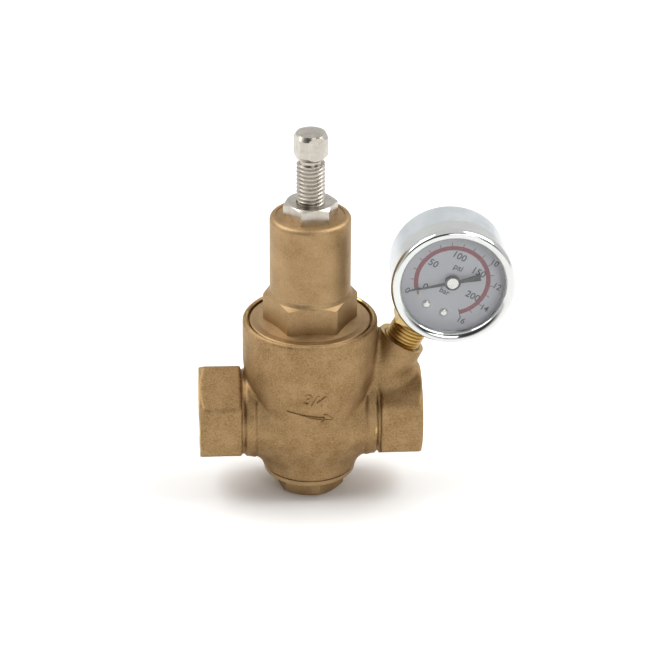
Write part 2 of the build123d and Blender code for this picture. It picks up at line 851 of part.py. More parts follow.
with BuildPart() as spindle:
    with BuildSketch(Plane.XZ):
        with BuildLine():
            Polyline(
                (0, stem_end_z),
                (spindle_radius - small_break, stem_end_z),
                (spindle_radius, stem_end_z + small_break),
                (spindle_radius, disc_top_z),
                (spindle_shoulder_radius, disc_top_z),
                (spindle_shoulder_radius, piston_bottom_z),
                (spindle_radius, piston_bottom_z),
                (spindle_radius, stem_top_z - small_break),
                (spindle_radius - small_break, stem_top_z),
                (0, stem_top_z),
                close=True,
            )
        make_face()
    revolve(axis=Axis.Z)
save(spindle, "spindle")

with BuildPart() as stem_washer:
    with BuildSketch(Plane.XY.offset(pocket_z)):
        Circle(stem_washer_radius)
        Circle(spindle_radius + fit_gap, mode=Mode.SUBTRACT)
    extrude(amount=stem_washer_thickness)
save(stem_washer, "stem_washer")


def small_nut_outline(bottom_z):
    """A chamfered nut's half section round the spindle."""
    nut_side = hex_corner_radius(stem_nut_af) - stem_nut_af / 2
    slope = nut_side * math.tan(math.radians(hex_chamfer_degrees))
    Polyline(
        (spindle_radius + press_relief, bottom_z),
        (stem_nut_af / 2, bottom_z),
        (hex_corner_radius(stem_nut_af), bottom_z + slope),
        (hex_corner_radius(stem_nut_af), bottom_z + stem_nut_height - slope),
        (stem_nut_af / 2, bottom_z + stem_nut_height),
        (spindle_radius + press_relief, bottom_z + stem_nut_height),
        close=True,
    )


with BuildPart() as stem_nut:
    with BuildSketch(Plane.XY.offset(stem_nut_bottom_z)):
        RegularPolygon(hex_corner_radius(stem_nut_af), 6)
    extrude(amount=stem_nut_height)
    with BuildSketch(Plane.XZ):
        with BuildLine():
            small_nut_outline(stem_nut_bottom_z)
        make_face()
    revolve(axis=Axis.Z, mode=Mode.INTERSECT)
save(stem_nut, "stem_nut")

# ---------------------------------------------------------------- seat and disc
seat_ring_top_z = axis_z + seat_wall_top + seat_ring_flange_thickness

with BuildPart() as seat_ring:
    with BuildSketch(Plane.XZ):
        with BuildLine():
            Polyline(
                (seat_ring_bore, lip_z + fine_break),
                (seat_ring_bore + fine_break, lip_z),
                (seat_lip_radius, lip_z),
                (seat_hole_radius - thread_gap, axis_z + seat_wall_bottom),
                (seat_hole_radius - thread_gap, axis_z + seat_wall_top),
                (seat_ring_flange_radius, axis_z + seat_wall_top),
                (seat_ring_flange_radius, seat_ring_top_z),
                (seat_ring_bore + small_break, seat_ring_top_z),
                (seat_ring_bore, seat_ring_top_z - small_break),
                close=True,
            )
        make_face()
    revolve(axis=Axis.Z)
save(seat_ring, "seat_ring")

with BuildPart() as seat_disc:
    with BuildSketch(Plane.XY.offset(disc_bottom_z)):
        Circle(disc_radius)
        Circle(spindle_radius + press_relief, mode=Mode.SUBTRACT)
    extrude(amount=disc_thickness)
save(seat_disc, "seat_disc")

with BuildPart() as disc_holder:
    with BuildSketch(Plane.XZ):
        with BuildLine():
            Polyline(
                (spindle_radius + press_relief, holder_bottom_z),
                (holder_radius - 1, holder_bottom_z),
                (holder_radius, holder_bottom_z + 1),
                (holder_radius, holder_top_z),
                (disc_radius + press_relief, holder_top_z),
                (disc_radius + press_relief, disc_bottom_z),
                (spindle_radius + press_relief, disc_bottom_z),
                close=True,
            )
        make_face()
    revolve(axis=Axis.Z)
save(disc_holder, "disc_holder")

with BuildPart() as disc_nut:
    with BuildSketch(Plane.XY.offset(holder_bottom_z - stem_nut_height)):
        RegularPolygon(hex_corner_radius(stem_nut_af), 6)
    extrude(amount=stem_nut_height)
    with BuildSketch(Plane.XZ):
        with BuildLine():
            small_nut_outline(holder_bottom_z - stem_nut_height)
        make_face()
    revolve(axis=Axis.Z, mode=Mode.INTERSECT)
save(disc_nut, "disc_nut")

# ---------------------------------------------------------------- gauge case
with BuildPart() as gauge_case:
    with BuildSketch(gauge_section) as case_profile:
        with BuildLine():
            Polyline(
                (0, case_back),
                (case_radius, case_back),
                (case_radius, case_front),
                (case_radius - case_wall, case_front),
                (case_radius - case_wall, case_back + case_wall),
                (0, case_back + case_wall),
                close=True,
            )
        make_face()
        inner_corner = (case_radius - case_wall, case_back + case_wall)
        round_corner(case_profile, (case_radius, case_back), case_back_round)
        round_corner(case_profile, inner_corner, case_back_round - case_wall)
    revolve(axis=gauge_axis)
    # Window for the stem's flats, and holes for the two screws in the back.
    with BuildSketch(dial_plane.offset(-stem_flats_depth / 2 - fit_gap)):
        with Locations((0, -case_radius)):
            Rectangle(stem_flats_width + 2 * fit_gap, 2 * (case_radius - stem_flats_top))
    extrude(amount=stem_flats_depth + 2 * fit_gap, mode=Mode.SUBTRACT)
    case_screw_spots = [(side * case_screw_apart / 2, -case_screw_drop) for side in (-1, 1)]
    with BuildSketch(dial_plane.offset(case_back)):
        with Locations(*case_screw_spots):
            Circle(case_screw_shank + fit_gap)
    extrude(amount=case_wall, mode=Mode.SUBTRACT)
save(gauge_case, "gauge_case")

block_back = case_back + case_wall + press_relief
with BuildPart() as case_screws:
    with BuildSketch(dial_plane.offset(case_back)):
        with Locations(*case_screw_spots):
            Circle(case_screw_head)
    extrude(amount=-case_screw_head_height)
    fillet(case_screws.edges().group_by(Axis.Y)[-1], case_screw_head_round)
    with BuildSketch(dial_plane.offset(case_back)):
        with Locations(*case_screw_spots):
            Circle(case_screw_shank)
    extrude(amount=case_screw_length)
    with BuildSketch(dial_plane.offset(case_back - case_screw_head_height)):
        with Locations(*case_screw_spots):
            Rectangle(*case_screw_slot)
    extrude(amount=case_screw_slot_depth, mode=Mode.SUBTRACT)
save(case_screws, "case_screws")

bezel_inner_skirt = case_radius + thread_gap
# The rolled ring is two quarter ellipses that meet at its crown.
bezel_rim_y = bezel_lip_back + bezel_lip_edge
bezel_crown_radius = bezel_radius - bezel_crown_in
bezel_skirt_radius = bezel_inner_skirt + bezel_skirt_wall
with BuildPart() as gauge_bezel:
    with BuildSketch(gauge_section):
        with BuildLine():
            Polyline(
                (bezel_inner_radius, bezel_rim_y),
                (bezel_inner_radius, bezel_lip_back),
                (bezel_inner_skirt, bezel_lip_back),
                (bezel_inner_skirt, bezel_skirt_back),
                (bezel_skirt_radius, bezel_skirt_back),
                (bezel_skirt_radius, bezel_ring_y - bezel_ring_foot),
                (bezel_radius, bezel_ring_y),
            )
            EllipticalCenterArc(
                (bezel_crown_radius, bezel_ring_y),
                bezel_crown_in,
                bezel_front - bezel_ring_y,
                arc_size=90,
            )
            EllipticalCenterArc(
                (bezel_crown_radius, bezel_rim_y),
                bezel_crown_radius - bezel_inner_radius,
                bezel_front - bezel_rim_y,
                start_angle=90,
                arc_size=90,
            )
        make_face()
    revolve(axis=gauge_axis)
save(gauge_bezel, "gauge_bezel")

lens_back = bezel_lip_back - press_relief - lens_thickness
with BuildPart() as gauge_lens:
    with BuildSketch(dial_plane.offset(lens_back)):
        Circle(lens_radius)
    extrude(amount=lens_thickness)
save(gauge_lens, "gauge_lens")

with BuildPart() as lens_gasket:
    with BuildSketch(dial_plane.offset(case_front + press_relief)):
        Circle(lens_radius)
        Circle(case_radius - case_wall, mode=Mode.SUBTRACT)
    extrude(amount=lens_back - case_front - 2 * press_relief)
save(lens_gasket, "lens_gasket")

# ---------------------------------------------------------------- dial
dial_back = dial_front - dial_thickness
dial_screw_spots = [
    polar(dial_screw_ring, side * dial_screw_spread - 90) for side in (-1, 1)
]
stop_pin_spot = polar(stop_pin_ring, stop_pin_angle)

with BuildPart() as gauge_dial:
    with BuildSketch(gauge_section):
        with BuildLine():
            Polyline(
                (dial_hole_radius, dial_back),
                (dial_radius, dial_back),
                (dial_radius, dial_front + dial_rim_height),
                (dial_radius - dial_rim_edge, dial_front + dial_rim_height),
                (dial_flat_radius, dial_front),
                (dial_hole_radius, dial_front),
                close=True,
            )
        make_face()
    revolve(axis=gauge_axis)
    with BuildSketch(dial_plane.offset(dial_front)):
        with Locations(*dial_screw_spots):
            Circle(dial_screw_shank_radius + fit_gap)
        with Locations(stop_pin_spot):
            Circle(stop_pin_radius + press_relief)
    extrude(amount=-dial_thickness, mode=Mode.SUBTRACT)
save(gauge_dial, "gauge_dial")

with BuildPart() as dial_screws:
    with BuildSketch(dial_plane.offset(dial_front)):
        with Locations(*dial_screw_spots):
            Circle(dial_screw_head_radius)
    extrude(amount=dial_screw_head_height)
    fillet(dial_screws.edges().group_by(Axis.Y)[0], dial_screw_head_round)
    with BuildSketch(dial_plane.offset(dial_front)):
        with Locations(*dial_screw_spots):
            Circle(dial_screw_shank_radius)
    extrude(amount=-dial_screw_length)
save(dial_screws, "dial_screws")

with BuildPart() as stop_pin:
    with BuildSketch(dial_plane.offset(dial_back)):
        with Locations(stop_pin_spot):
            Circle(stop_pin_radius)
    extrude(amount=dial_thickness + pointer_stand + pointer_plate)
save(stop_pin, "stop_pin")

# ---------------------------------------------------------------- pointer
pointer_back = dial_front + pointer_stand
pointer_front = pointer_back + pointer_plate
hub_front = pointer_front + pointer_hub_stand
hub_back = pointer_back - pointer_hub_stand
pointer_plane = Plane(
    origin=gauge_centre,
    x_dir=dial_direction(pointer_rest_angle),
    z_dir=(0, -1, 0),
)

with BuildPart() as pointer:
    with BuildSketch(pointer_plane.offset(pointer_back)):
        with BuildLine():
            stations = (pointer_length, 0, -pointer_waist, -pointer_tail)
            upper_edge = list(zip(stations, pointer_half_widths))
            lower_edge = [(along, -half_width) for along, half_width in reversed(upper_edge)]
            Polyline(*upper_edge, *lower_edge, close=True)
        make_face()
    extrude(amount=pointer_plate)
    with BuildSketch(pointer_plane.offset(hub_back)):
        Circle(pointer_hub_radius)
    extrude(amount=hub_front - hub_back)
    with BuildSketch(pointer_plane.offset(hub_back)):
        Circle(arbor_radius + press_relief)
    extrude(amount=hub_front - hub_back, mode=Mode.SUBTRACT)
save(pointer, "pointer")

cap_height = lens_back - lens_gap - hub_front
cap_rim_y = hub_front + pointer_cap_rim
with BuildPart() as pointer_cap:
    with BuildSketch(gauge_section):
        with BuildLine():
            cap_side = Polyline(
                (0, hub_front + cap_height),
                (0, hub_front),
                (pointer_cap_radius, hub_front),
                (pointer_cap_radius, cap_rim_y),
            )
            cap_middle = dome_point(pointer_cap_radius, cap_rim_y, cap_height - pointer_cap_rim)
            ThreePointArc(cap_side @ 1, cap_middle, cap_side @ 0)
        make_face()
    revolve(axis=gauge_axis)
save(pointer_cap, "pointer_cap")

# ---------------------------------------------------------------- gauge stem
stem_flats_end = gauge_reach - stem_visible_thread
stem_end = gauge_reach + stem_thread_engagement
block_front = plate_back
tube_hole_y = polar(tube_radius, tube_start_angle)[1]
movement_screw_spots = [(0, -drop) for drop in movement_screw_drops]
stem_plane = Plane(origin=gauge_centre, x_dir=(0, -1, 0), z_dir=-lean_dir)
tube_section = Plane(
    origin=dial_point(*polar(tube_radius, tube_start_angle)),
    x_dir=dial_direction(tube_start_angle),
    z_dir=dial_direction(tube_start_angle + 90),
)

# Threaded shank with a chamfered end, cut upright and then laid on the lean.
with BuildPart() as stem_shank:
    with BuildSketch():
        Circle(stem_thread_radius)
    extrude(amount=stem_end - stem_flats_end)
    chamfer(stem_shank.edges().sort_by(Axis.Z)[-1], stem_end_chamfer)
    thread_groove(
        Plane.XY.offset(-stem_thread_lead),
        stem_thread_radius,
        stem_thread_depth,
        stem_pitch,
        stem_end - stem_flats_end,
    )
with BuildPart() as gauge_stem:
    # Inner block that carries the tube and the movement.
    with BuildSketch(dial_plane.offset(block_back)):
        with Locations((0, -(stem_block_top + stem_flats_top) / 2)):
            Rectangle(stem_block_width, stem_flats_top - stem_block_top)
    extrude(amount=block_front - block_back)
    # Flats that pass out through the case.
    with BuildSketch(dial_plane.offset(-stem_flats_depth / 2)):
        with Locations((0, -(stem_flats_top + stem_flats_end) / 2)):
            Rectangle(stem_flats_width, stem_flats_end - stem_flats_top)
    extrude(amount=stem_flats_depth)
    add(stem_plane.offset(stem_flats_end).location * stem_shank.part)
    # Pressure bore, restrictor seat and the cross hole to the tube.
    with BuildSketch(stem_plane.offset(stem_end)):
        Circle(stem_bore_radius)
    extrude(amount=-(stem_end + tube_hole_y), mode=Mode.SUBTRACT)
    with BuildSketch(stem_plane.offset(stem_end)):
        Circle(restrictor_radius + press_relief)
    extrude(amount=-(restrictor_length + 1), mode=Mode.SUBTRACT)
    with BuildSketch(Plane(origin=dial_point(0, tube_hole_y), z_dir=dial_plane.x_dir)):
        Circle(cross_hole_radius)
    extrude(amount=polar(tube_radius, tube_start_angle)[0], mode=Mode.SUBTRACT)
    # Slot that holds the tube's root.
    with BuildSketch(tube_section):
        Ellipse(tube_thickness / 2 + press_relief, tube_width / 2 + press_relief)
    revolve(axis=gauge_axis, revolution_arc=tube_slot_arc, mode=Mode.SUBTRACT)
    # Holes for the movement's and the case's screws.
    with BuildSketch(dial_plane.offset(block_front)):
        with Locations(*movement_screw_spots):
            Circle(movement_screw_shank + press_relief)
    extrude(amount=-movement_screw_depth, mode=Mode.SUBTRACT)
    with BuildSketch(dial_plane.offset(block_back)):
        with Locations(*case_screw_spots):
            Circle(case_screw_shank + press_relief)
    extrude(amount=case_screw_length - case_wall + press_relief, mode=Mode.SUBTRACT)
save(gauge_stem, "gauge_stem")

with BuildPart() as restrictor_screw:
    with BuildSketch(stem_plane.offset(stem_end - restrictor_sink)):
        Circle(restrictor_radius)
        Circle(restrictor_hole, mode=Mode.SUBTRACT)
    extrude(amount=-restrictor_length)
save(restrictor_screw, "restrictor_screw")

# ---------------------------------------------------------------- bourdon tube
tube_arc = tube_end_angle - tube_start_angle
with BuildPart() as bourdon_tube:
    with BuildSketch(tube_section):
        Ellipse(tube_thickness / 2, tube_width / 2)
        Ellipse(tube_thickness / 2 - tube_wall, tube_width / 2 - tube_wall, mode=Mode.SUBTRACT)
    revolve(axis=gauge_axis, revolution_arc=tube_arc)
save(bourdon_tube, "bourdon_tube")

# The free end of the tube is closed by a block that carries the link's pin.
tip_angle = tube_end_angle + tip_block_angle / 2
tip_pin_spot = polar(tube_radius, tip_angle)
tip_gap_degrees = math.degrees(press_relief / tube_radius)
tip_start = dial_direction(tube_end_angle + tip_gap_degrees)
plate_front = plate_back + plate_thickness
sector_back = plate_front + sector_lift
sector_front = sector_back + sector_thickness
link_back = sector_front + link_gap
with BuildPart() as tube_tip:
    with BuildSketch(Plane(
        origin=gauge_centre + tip_start * tube_radius,
        x_dir=tip_start,
        z_dir=dial_direction(tube_end_angle + 90),
    )):
        with Locations((0, -(plate_front + 1 - tube_width / 2) / 2)):
            Rectangle(tube_thickness + tip_block_extra, plate_front + 1 + tube_width / 2)
    revolve(axis=gauge_axis, revolution_arc=tip_block_angle)
    with BuildSketch(dial_plane.offset(plate_front)):
        with Locations(tip_pin_spot):
            Circle(tip_pin_radius)
    extrude(amount=link_back + link_thickness - plate_front + small_break)
save(tube_tip, "tube_tip")

# ---------------------------------------------------------------- gauge movement
pinion_pitch_radius = gear_module * pinion_teeth / 2
sector_pitch_radius = gear_module * sector_teeth / 2
gear_centres = pinion_pitch_radius + sector_pitch_radius
sector_pivot = (-gear_centres, 0)
tooth_step = 360 / sector_teeth
gear_ratio = sector_teeth / pinion_teeth
sector_sweep = sweep_degrees / gear_ratio
upper_plate_back = plate_front + plate_spacing
upper_plate_front = upper_plate_back + plate_thickness
pillar_spots = [(pillar_x, pillar_y), (pillar_x, -pillar_y)]
nose_x = sector_pivot[0] - plate_nose_reach
shoulder_x = sector_pivot[0] + plate_shoulder_reach
plate_foot_y = -stem_flats_top + plate_foot_gap
pivot_bore = arbor_radius + running_gap
tail_spot = (
    sector_pivot[0] + polar(tail_length, tail_angle)[0],
    sector_pivot[1] + polar(tail_length, tail_angle)[1],
)

with BuildPart() as movement_bottom_plate:
    with BuildSketch(dial_plane.offset(plate_back)) as bottom_outline:
        with BuildLine():
            Polyline(
                (nose_x, -plate_nose_half_width),
                (nose_x, plate_nose_half_width),
                (shoulder_x, plate_shoulder_half_width),
                (plate_half_width, plate_head_height),
                (plate_half_width, plate_foot_y),
                (-plate_half_width, plate_foot_y),
                (-plate_half_width, -plate_foot_start),
                (shoulder_x, -plate_shoulder_half_width),
                close=True,
            )
        make_face()
        fillet(bottom_outline.vertices(), plate_round)
        with Locations((0, 0), sector_pivot):
            Circle(pivot_bore, mode=Mode.SUBTRACT)
        with Locations(*movement_screw_spots):
            Circle(movement_screw_shank + fit_gap, mode=Mode.SUBTRACT)
    extrude(amount=plate_thickness)
save(movement_bottom_plate, "movement_bottom_plate")

with BuildPart() as movement_top_plate:
    with BuildSketch(dial_plane.offset(upper_plate_back)) as top_outline:
        with BuildLine():
            Polyline(
                (nose_x, -plate_nose_half_width),
                (nose_x, plate_nose_half_width),
                (shoulder_x, plate_nose_half_width + plate_round),
                (plate_round, plate_head_height),
                (plate_half_width, plate_head_height),
                (plate_half_width, -plate_head_height),
                (plate_round, -plate_head_height),
                (shoulder_x, -plate_nose_half_width - plate_round),
                close=True,
            )
        make_face()
        fillet(top_outline.vertices(), plate_round)
        with Locations((0, 0), sector_pivot):
            Circle(pivot_bore, mode=Mode.SUBTRACT)
        with Locations(*pillar_spots):
            Circle(movement_screw_shank + fit_gap, mode=Mode.SUBTRACT)
    extrude(amount=plate_thickness)
save(movement_top_plate, "movement_top_plate")

with BuildPart() as movement_pillars:
    with BuildSketch(dial_plane.offset(plate_front)):
        with Locations(*pillar_spots):
            Circle(pillar_radius)
    extrude(amount=plate_spacing)
    with BuildSketch(dial_plane.offset(upper_plate_back)):
        with Locations(*pillar_spots):
            Circle(movement_screw_shank + press_relief)
    extrude(amount=-movement_screw_depth, mode=Mode.SUBTRACT)
save(movement_pillars, "movement_pillars")

with BuildPart() as movement_screws:
    for face_z, spots in ((plate_front, movement_screw_spots), (upper_plate_front, pillar_spots)):
        with BuildSketch(dial_plane.offset(face_z)):
            with Locations(*spots):
                Circle(movement_screw_head)
        extrude(amount=movement_screw_head_height)
        with BuildSketch(dial_plane.offset(face_z)):
            with Locations(*spots):
                Circle(movement_screw_shank)
        extrude(amount=-(plate_thickness + movement_screw_depth - fit_gap))
save(movement_screws, "movement_screws")

with BuildPart() as dial_posts:
    with BuildSketch(dial_plane.offset(plate_front)):
        with Locations(*dial_screw_spots):
            Circle(post_radius)
    extrude(amount=dial_back - plate_front)
    with BuildSketch(dial_plane.offset(dial_back)):
        with Locations(*dial_screw_spots):
            Circle(dial_screw_shank_radius + press_relief)
    extrude(amount=-dial_screw_length, mode=Mode.SUBTRACT)
save(dial_posts, "dial_posts")


def tooth_outline(pitch_radius, degrees, centre):
    """One straight-sided gear tooth, thinned for backlash, pointing along degrees."""
    half_pitch = (math.pi * gear_module / 2 - gear_backlash) / 2
    root = pitch_radius - gear_dedendum * gear_module - cut_over
    tip = pitch_radius + gear_addendum * gear_module
    corners = [
        (root, half_pitch * tooth_root_share),
        (tip, half_pitch * tooth_tip_share),
        (tip, -half_pitch * tooth_tip_share),
        (root, -half_pitch * tooth_root_share),
    ]
    turn = math.radians(degrees)
    placed = [
        (
            centre[0] + x * math.cos(turn) - y * math.sin(turn),
            centre[1] + x * math.sin(turn) + y * math.cos(turn),
        )
        for x, y in corners
    ]
    Polyline(*placed, close=True)


sector_root = sector_pitch_radius - gear_dedendum * gear_module
sector_first = sector_lead * tooth_step
sector_last = sector_first - (sector_cut_teeth - 1) * tooth_step
with BuildPart() as sector_gear:
    with BuildSketch(dial_plane.offset(sector_back)):
        # The fan, from just past its first tooth to just past its last.
        with BuildLine():
            fan_top = polar(sector_root, sector_first + tooth_step * sector_edge)
            fan_mid = polar(sector_root, (sector_first + sector_last) / 2)
            fan_low = polar(sector_root, sector_last - tooth_step * sector_edge)
            top_point = (sector_pivot[0] + fan_top[0], fan_top[1])
            mid_point = (sector_pivot[0] + fan_mid[0], fan_mid[1])
            low_point = (sector_pivot[0] + fan_low[0], fan_low[1])
            Line(sector_pivot, top_point)
            ThreePointArc(top_point, mid_point, low_point)
            Line(low_point, sector_pivot)
        make_face()
        for tooth in range(sector_cut_teeth):
            with BuildLine():
                tooth_outline(sector_pitch_radius, sector_first - tooth * tooth_step, sector_pivot)
            make_face()
        # Hub and tail.
        with Locations(sector_pivot):
            Circle(sector_hub_radius)
        with Locations(tail_spot):
            Circle(tail_eye_radius)
        with BuildLine():
            side = polar(tail_half_width, tail_angle + 90)
            Polyline(
                (sector_pivot[0] + side[0], sector_pivot[1] + side[1]),
                (tail_spot[0] + side[0], tail_spot[1] + side[1]),
                (tail_spot[0] - side[0], tail_spot[1] - side[1]),
                (sector_pivot[0] - side[0], sector_pivot[1] - side[1]),
                close=True,
            )
        make_face()
        with Locations(tail_spot):
            Circle(tip_pin_radius + running_gap, mode=Mode.SUBTRACT)
    extrude(amount=sector_thickness)
    with BuildSketch(dial_plane.offset(plate_back + fit_gap)):
        with Locations(sector_pivot):
            Circle(arbor_radius)
    extrude(amount=upper_plate_front - plate_back - 2 * fit_gap)
save(sector_gear, "sector_gear")

with BuildPart() as pinion_arbor:
    with BuildSketch(dial_plane.offset(plate_back + fit_gap)):
        Circle(arbor_radius)
    extrude(amount=hub_front - running_gap - plate_back - fit_gap)
    with BuildSketch(dial_plane.offset(sector_back - pinion_overhang)):
        Circle(pinion_pitch_radius - gear_dedendum * gear_module)
        for tooth in range(pinion_teeth):
            with BuildLine():
                tooth_outline(pinion_pitch_radius, tooth * 360 / pinion_teeth, (0, 0))
            make_face()
    extrude(amount=sector_thickness + 2 * pinion_overhang)
save(pinion_arbor, "pinion_arbor")

slot_travel = 2 * tail_length * math.sin(math.radians(sector_sweep / 2))
slot_length = slot_travel + 2 * link_slot_radius
slot_outer_width = 2 * (link_slot_radius + link_slot_wall)
with BuildPart() as tip_link:
    with BuildSketch(dial_plane.offset(link_back)):
        with Locations(tail_spot):
            Circle(link_eye_radius)
        with Locations((tip_pin_spot[0], tip_pin_spot[1] + slot_travel / 2)):
            SlotOverall(slot_length + 2 * link_slot_wall, slot_outer_width, rotation=90)
        slot_top = tip_pin_spot[1] + slot_travel / 2 + slot_length / 2
        with BuildLine():
            Polyline(
                (tail_spot[0] - link_half_width, tail_spot[1]),
                (tail_spot[0] + link_half_width, tail_spot[1]),
                (tip_pin_spot[0] + link_half_width, slot_top),
                (tip_pin_spot[0] - link_half_width, slot_top),
                close=True,
            )
        make_face()
        with Locations((tip_pin_spot[0], tip_pin_spot[1] + slot_travel / 2)):
            SlotOverall(slot_length, 2 * link_slot_radius, rotation=90, mode=Mode.SUBTRACT)
    extrude(amount=link_thickness)
    with BuildSketch(dial_plane.offset(link_back + link_thickness)):
        with Locations(tail_spot):
            Circle(tip_pin_radius)
    extrude(amount=-(link_back + link_thickness - sector_back + stop_gap))
save(tip_link, "tip_link")

# The hairspring is a flat spiral strip, from a collet beside the arbor to a stud.
hairspring_back = sector_front + hairspring_lift
spiral_step = 360 / spiral_steps_a_turn
spiral_growth = hairspring_pitch / spiral_steps_a_turn
spiral_steps = spiral_steps_a_turn * hairspring_turns
hairspring_outer_start = hairspring_inner + hairspring_strip
with BuildPart() as hairspring:
    with BuildSketch(dial_plane.offset(hairspring_back)):
        with BuildLine():
            inner = [
                polar(hairspring_inner + spiral_growth * step, spiral_step * step)
                for step in range(spiral_steps + 1)
            ]
            outer = [
                polar(hairspring_outer_start + spiral_growth * step, spiral_step * step)
                for step in range(spiral_steps + 1)
            ]
            Spline(*inner)
            Spline(*outer)
            Line(inner[0], outer[0])
            Line(inner[-1], outer[-1])
        make_face()
    extrude(amount=hairspring_height)
save(hairspring, "hairspring")
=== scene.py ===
# %% [markdown]
# # A brass pressure reducing valve with its gauge
#
# The real valve is a sand casting in brass, machined where parts meet it, with
# turned brass and stainless pieces screwed in and a small plated steel gauge on
# a slanted boss. The CAD frame gives every size. This lesson gives the pieces
# their real skins: a casting with soft fillets, cut threads, printed dial and
# one material for each way in which a surface was made.

# %% Frame
import json
import math

import bmesh
import bpy
import numpy as np
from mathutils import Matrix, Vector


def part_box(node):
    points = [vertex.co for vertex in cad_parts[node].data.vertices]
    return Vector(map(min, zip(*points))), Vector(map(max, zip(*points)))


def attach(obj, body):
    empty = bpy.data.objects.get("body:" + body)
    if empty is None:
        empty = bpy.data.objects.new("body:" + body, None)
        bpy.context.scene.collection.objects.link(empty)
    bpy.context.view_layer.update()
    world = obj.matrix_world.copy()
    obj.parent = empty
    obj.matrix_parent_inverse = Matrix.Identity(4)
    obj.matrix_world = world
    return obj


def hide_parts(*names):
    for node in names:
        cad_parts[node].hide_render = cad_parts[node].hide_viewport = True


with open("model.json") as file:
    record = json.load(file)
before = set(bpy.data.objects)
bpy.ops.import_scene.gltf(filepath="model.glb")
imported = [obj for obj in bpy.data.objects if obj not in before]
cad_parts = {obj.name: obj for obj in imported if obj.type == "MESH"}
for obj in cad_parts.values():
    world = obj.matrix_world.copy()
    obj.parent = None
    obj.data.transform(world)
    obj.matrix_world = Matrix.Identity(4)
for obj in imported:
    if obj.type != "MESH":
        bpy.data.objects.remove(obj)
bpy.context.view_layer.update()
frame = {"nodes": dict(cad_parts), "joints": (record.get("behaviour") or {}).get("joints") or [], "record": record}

import openvdb
from mathutils import Matrix, Vector

MM = 0.001
cad = frame["nodes"]
mounts = {mount["name"]: mount for mount in frame["record"]["mounts"]}
joints = {joint["name"]: joint for joint in frame["joints"]}

axis_z = mounts["inlet_port"]["pos_m"][2] / MM
gauge = Vector(joints["pointer_turn"]["pos_m"]) / MM
casting_low, casting_high = (np.array(corner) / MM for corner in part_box("valve_body"))
half_length = -casting_low[0]
foot_z, rim_z = casting_low[2], casting_high[2]
print("port axis", round(axis_z, 2), "rim", round(rim_z, 2), "gauge", tuple(gauge))

# %% [markdown]
# ## Two small helpers
#
# Paint is mixed in sRGB hex, but a renderer works in linear light, so one
# function converts. A node tree is a list of nodes with settings and links, so
# one function adds a node with both, in shader and geometry trees alike.


# %% Helpers for colours and nodes
def tone(code):
    """A linear RGBA colour from an sRGB hex code."""
    channels = [int(code[i : i + 2], 16) / 255 for i in (1, 3, 5)]
    linear = [c / 12.92 if c <= 0.04045 else ((c + 0.055) / 1.055) ** 2.4 for c in channels]
    return (*linear, 1.0)


def put(tree, kind, settings=None, inputs=None):
    """Add a node with its own settings, and with values or links on its inputs."""
    node = tree.nodes.new(kind)
    for name, value in (settings or {}).items():
        setattr(node, name, value)
    for name, value in (inputs or {}).items():
        if isinstance(value, bpy.types.NodeSocket):
            tree.links.new(value, node.inputs[name])
        else:
            node.inputs[name].default_value = value
    return node


def new_material(name):
    """An empty node material and its tree."""
    material = bpy.data.materials.new(name)
    material.use_nodes = True
    material.node_tree.nodes.clear()
    return material, material.node_tree


# %% [markdown]
# ## Metal finishes
#
# Every metal here is one recipe with other numbers. Two tones vary over blotches
# of a real size, as oxide and handling do. A fine grain is the blast grit or the
# satin of the plating. Turned pieces add rings round their axis, because a lathe
# tool leaves them, and the rings only change with radius and height. The grain
# is drawn a little coarser than real grit, so that it shows at this distance.


# %% Metal recipe
BUFF_FADE = 0.4


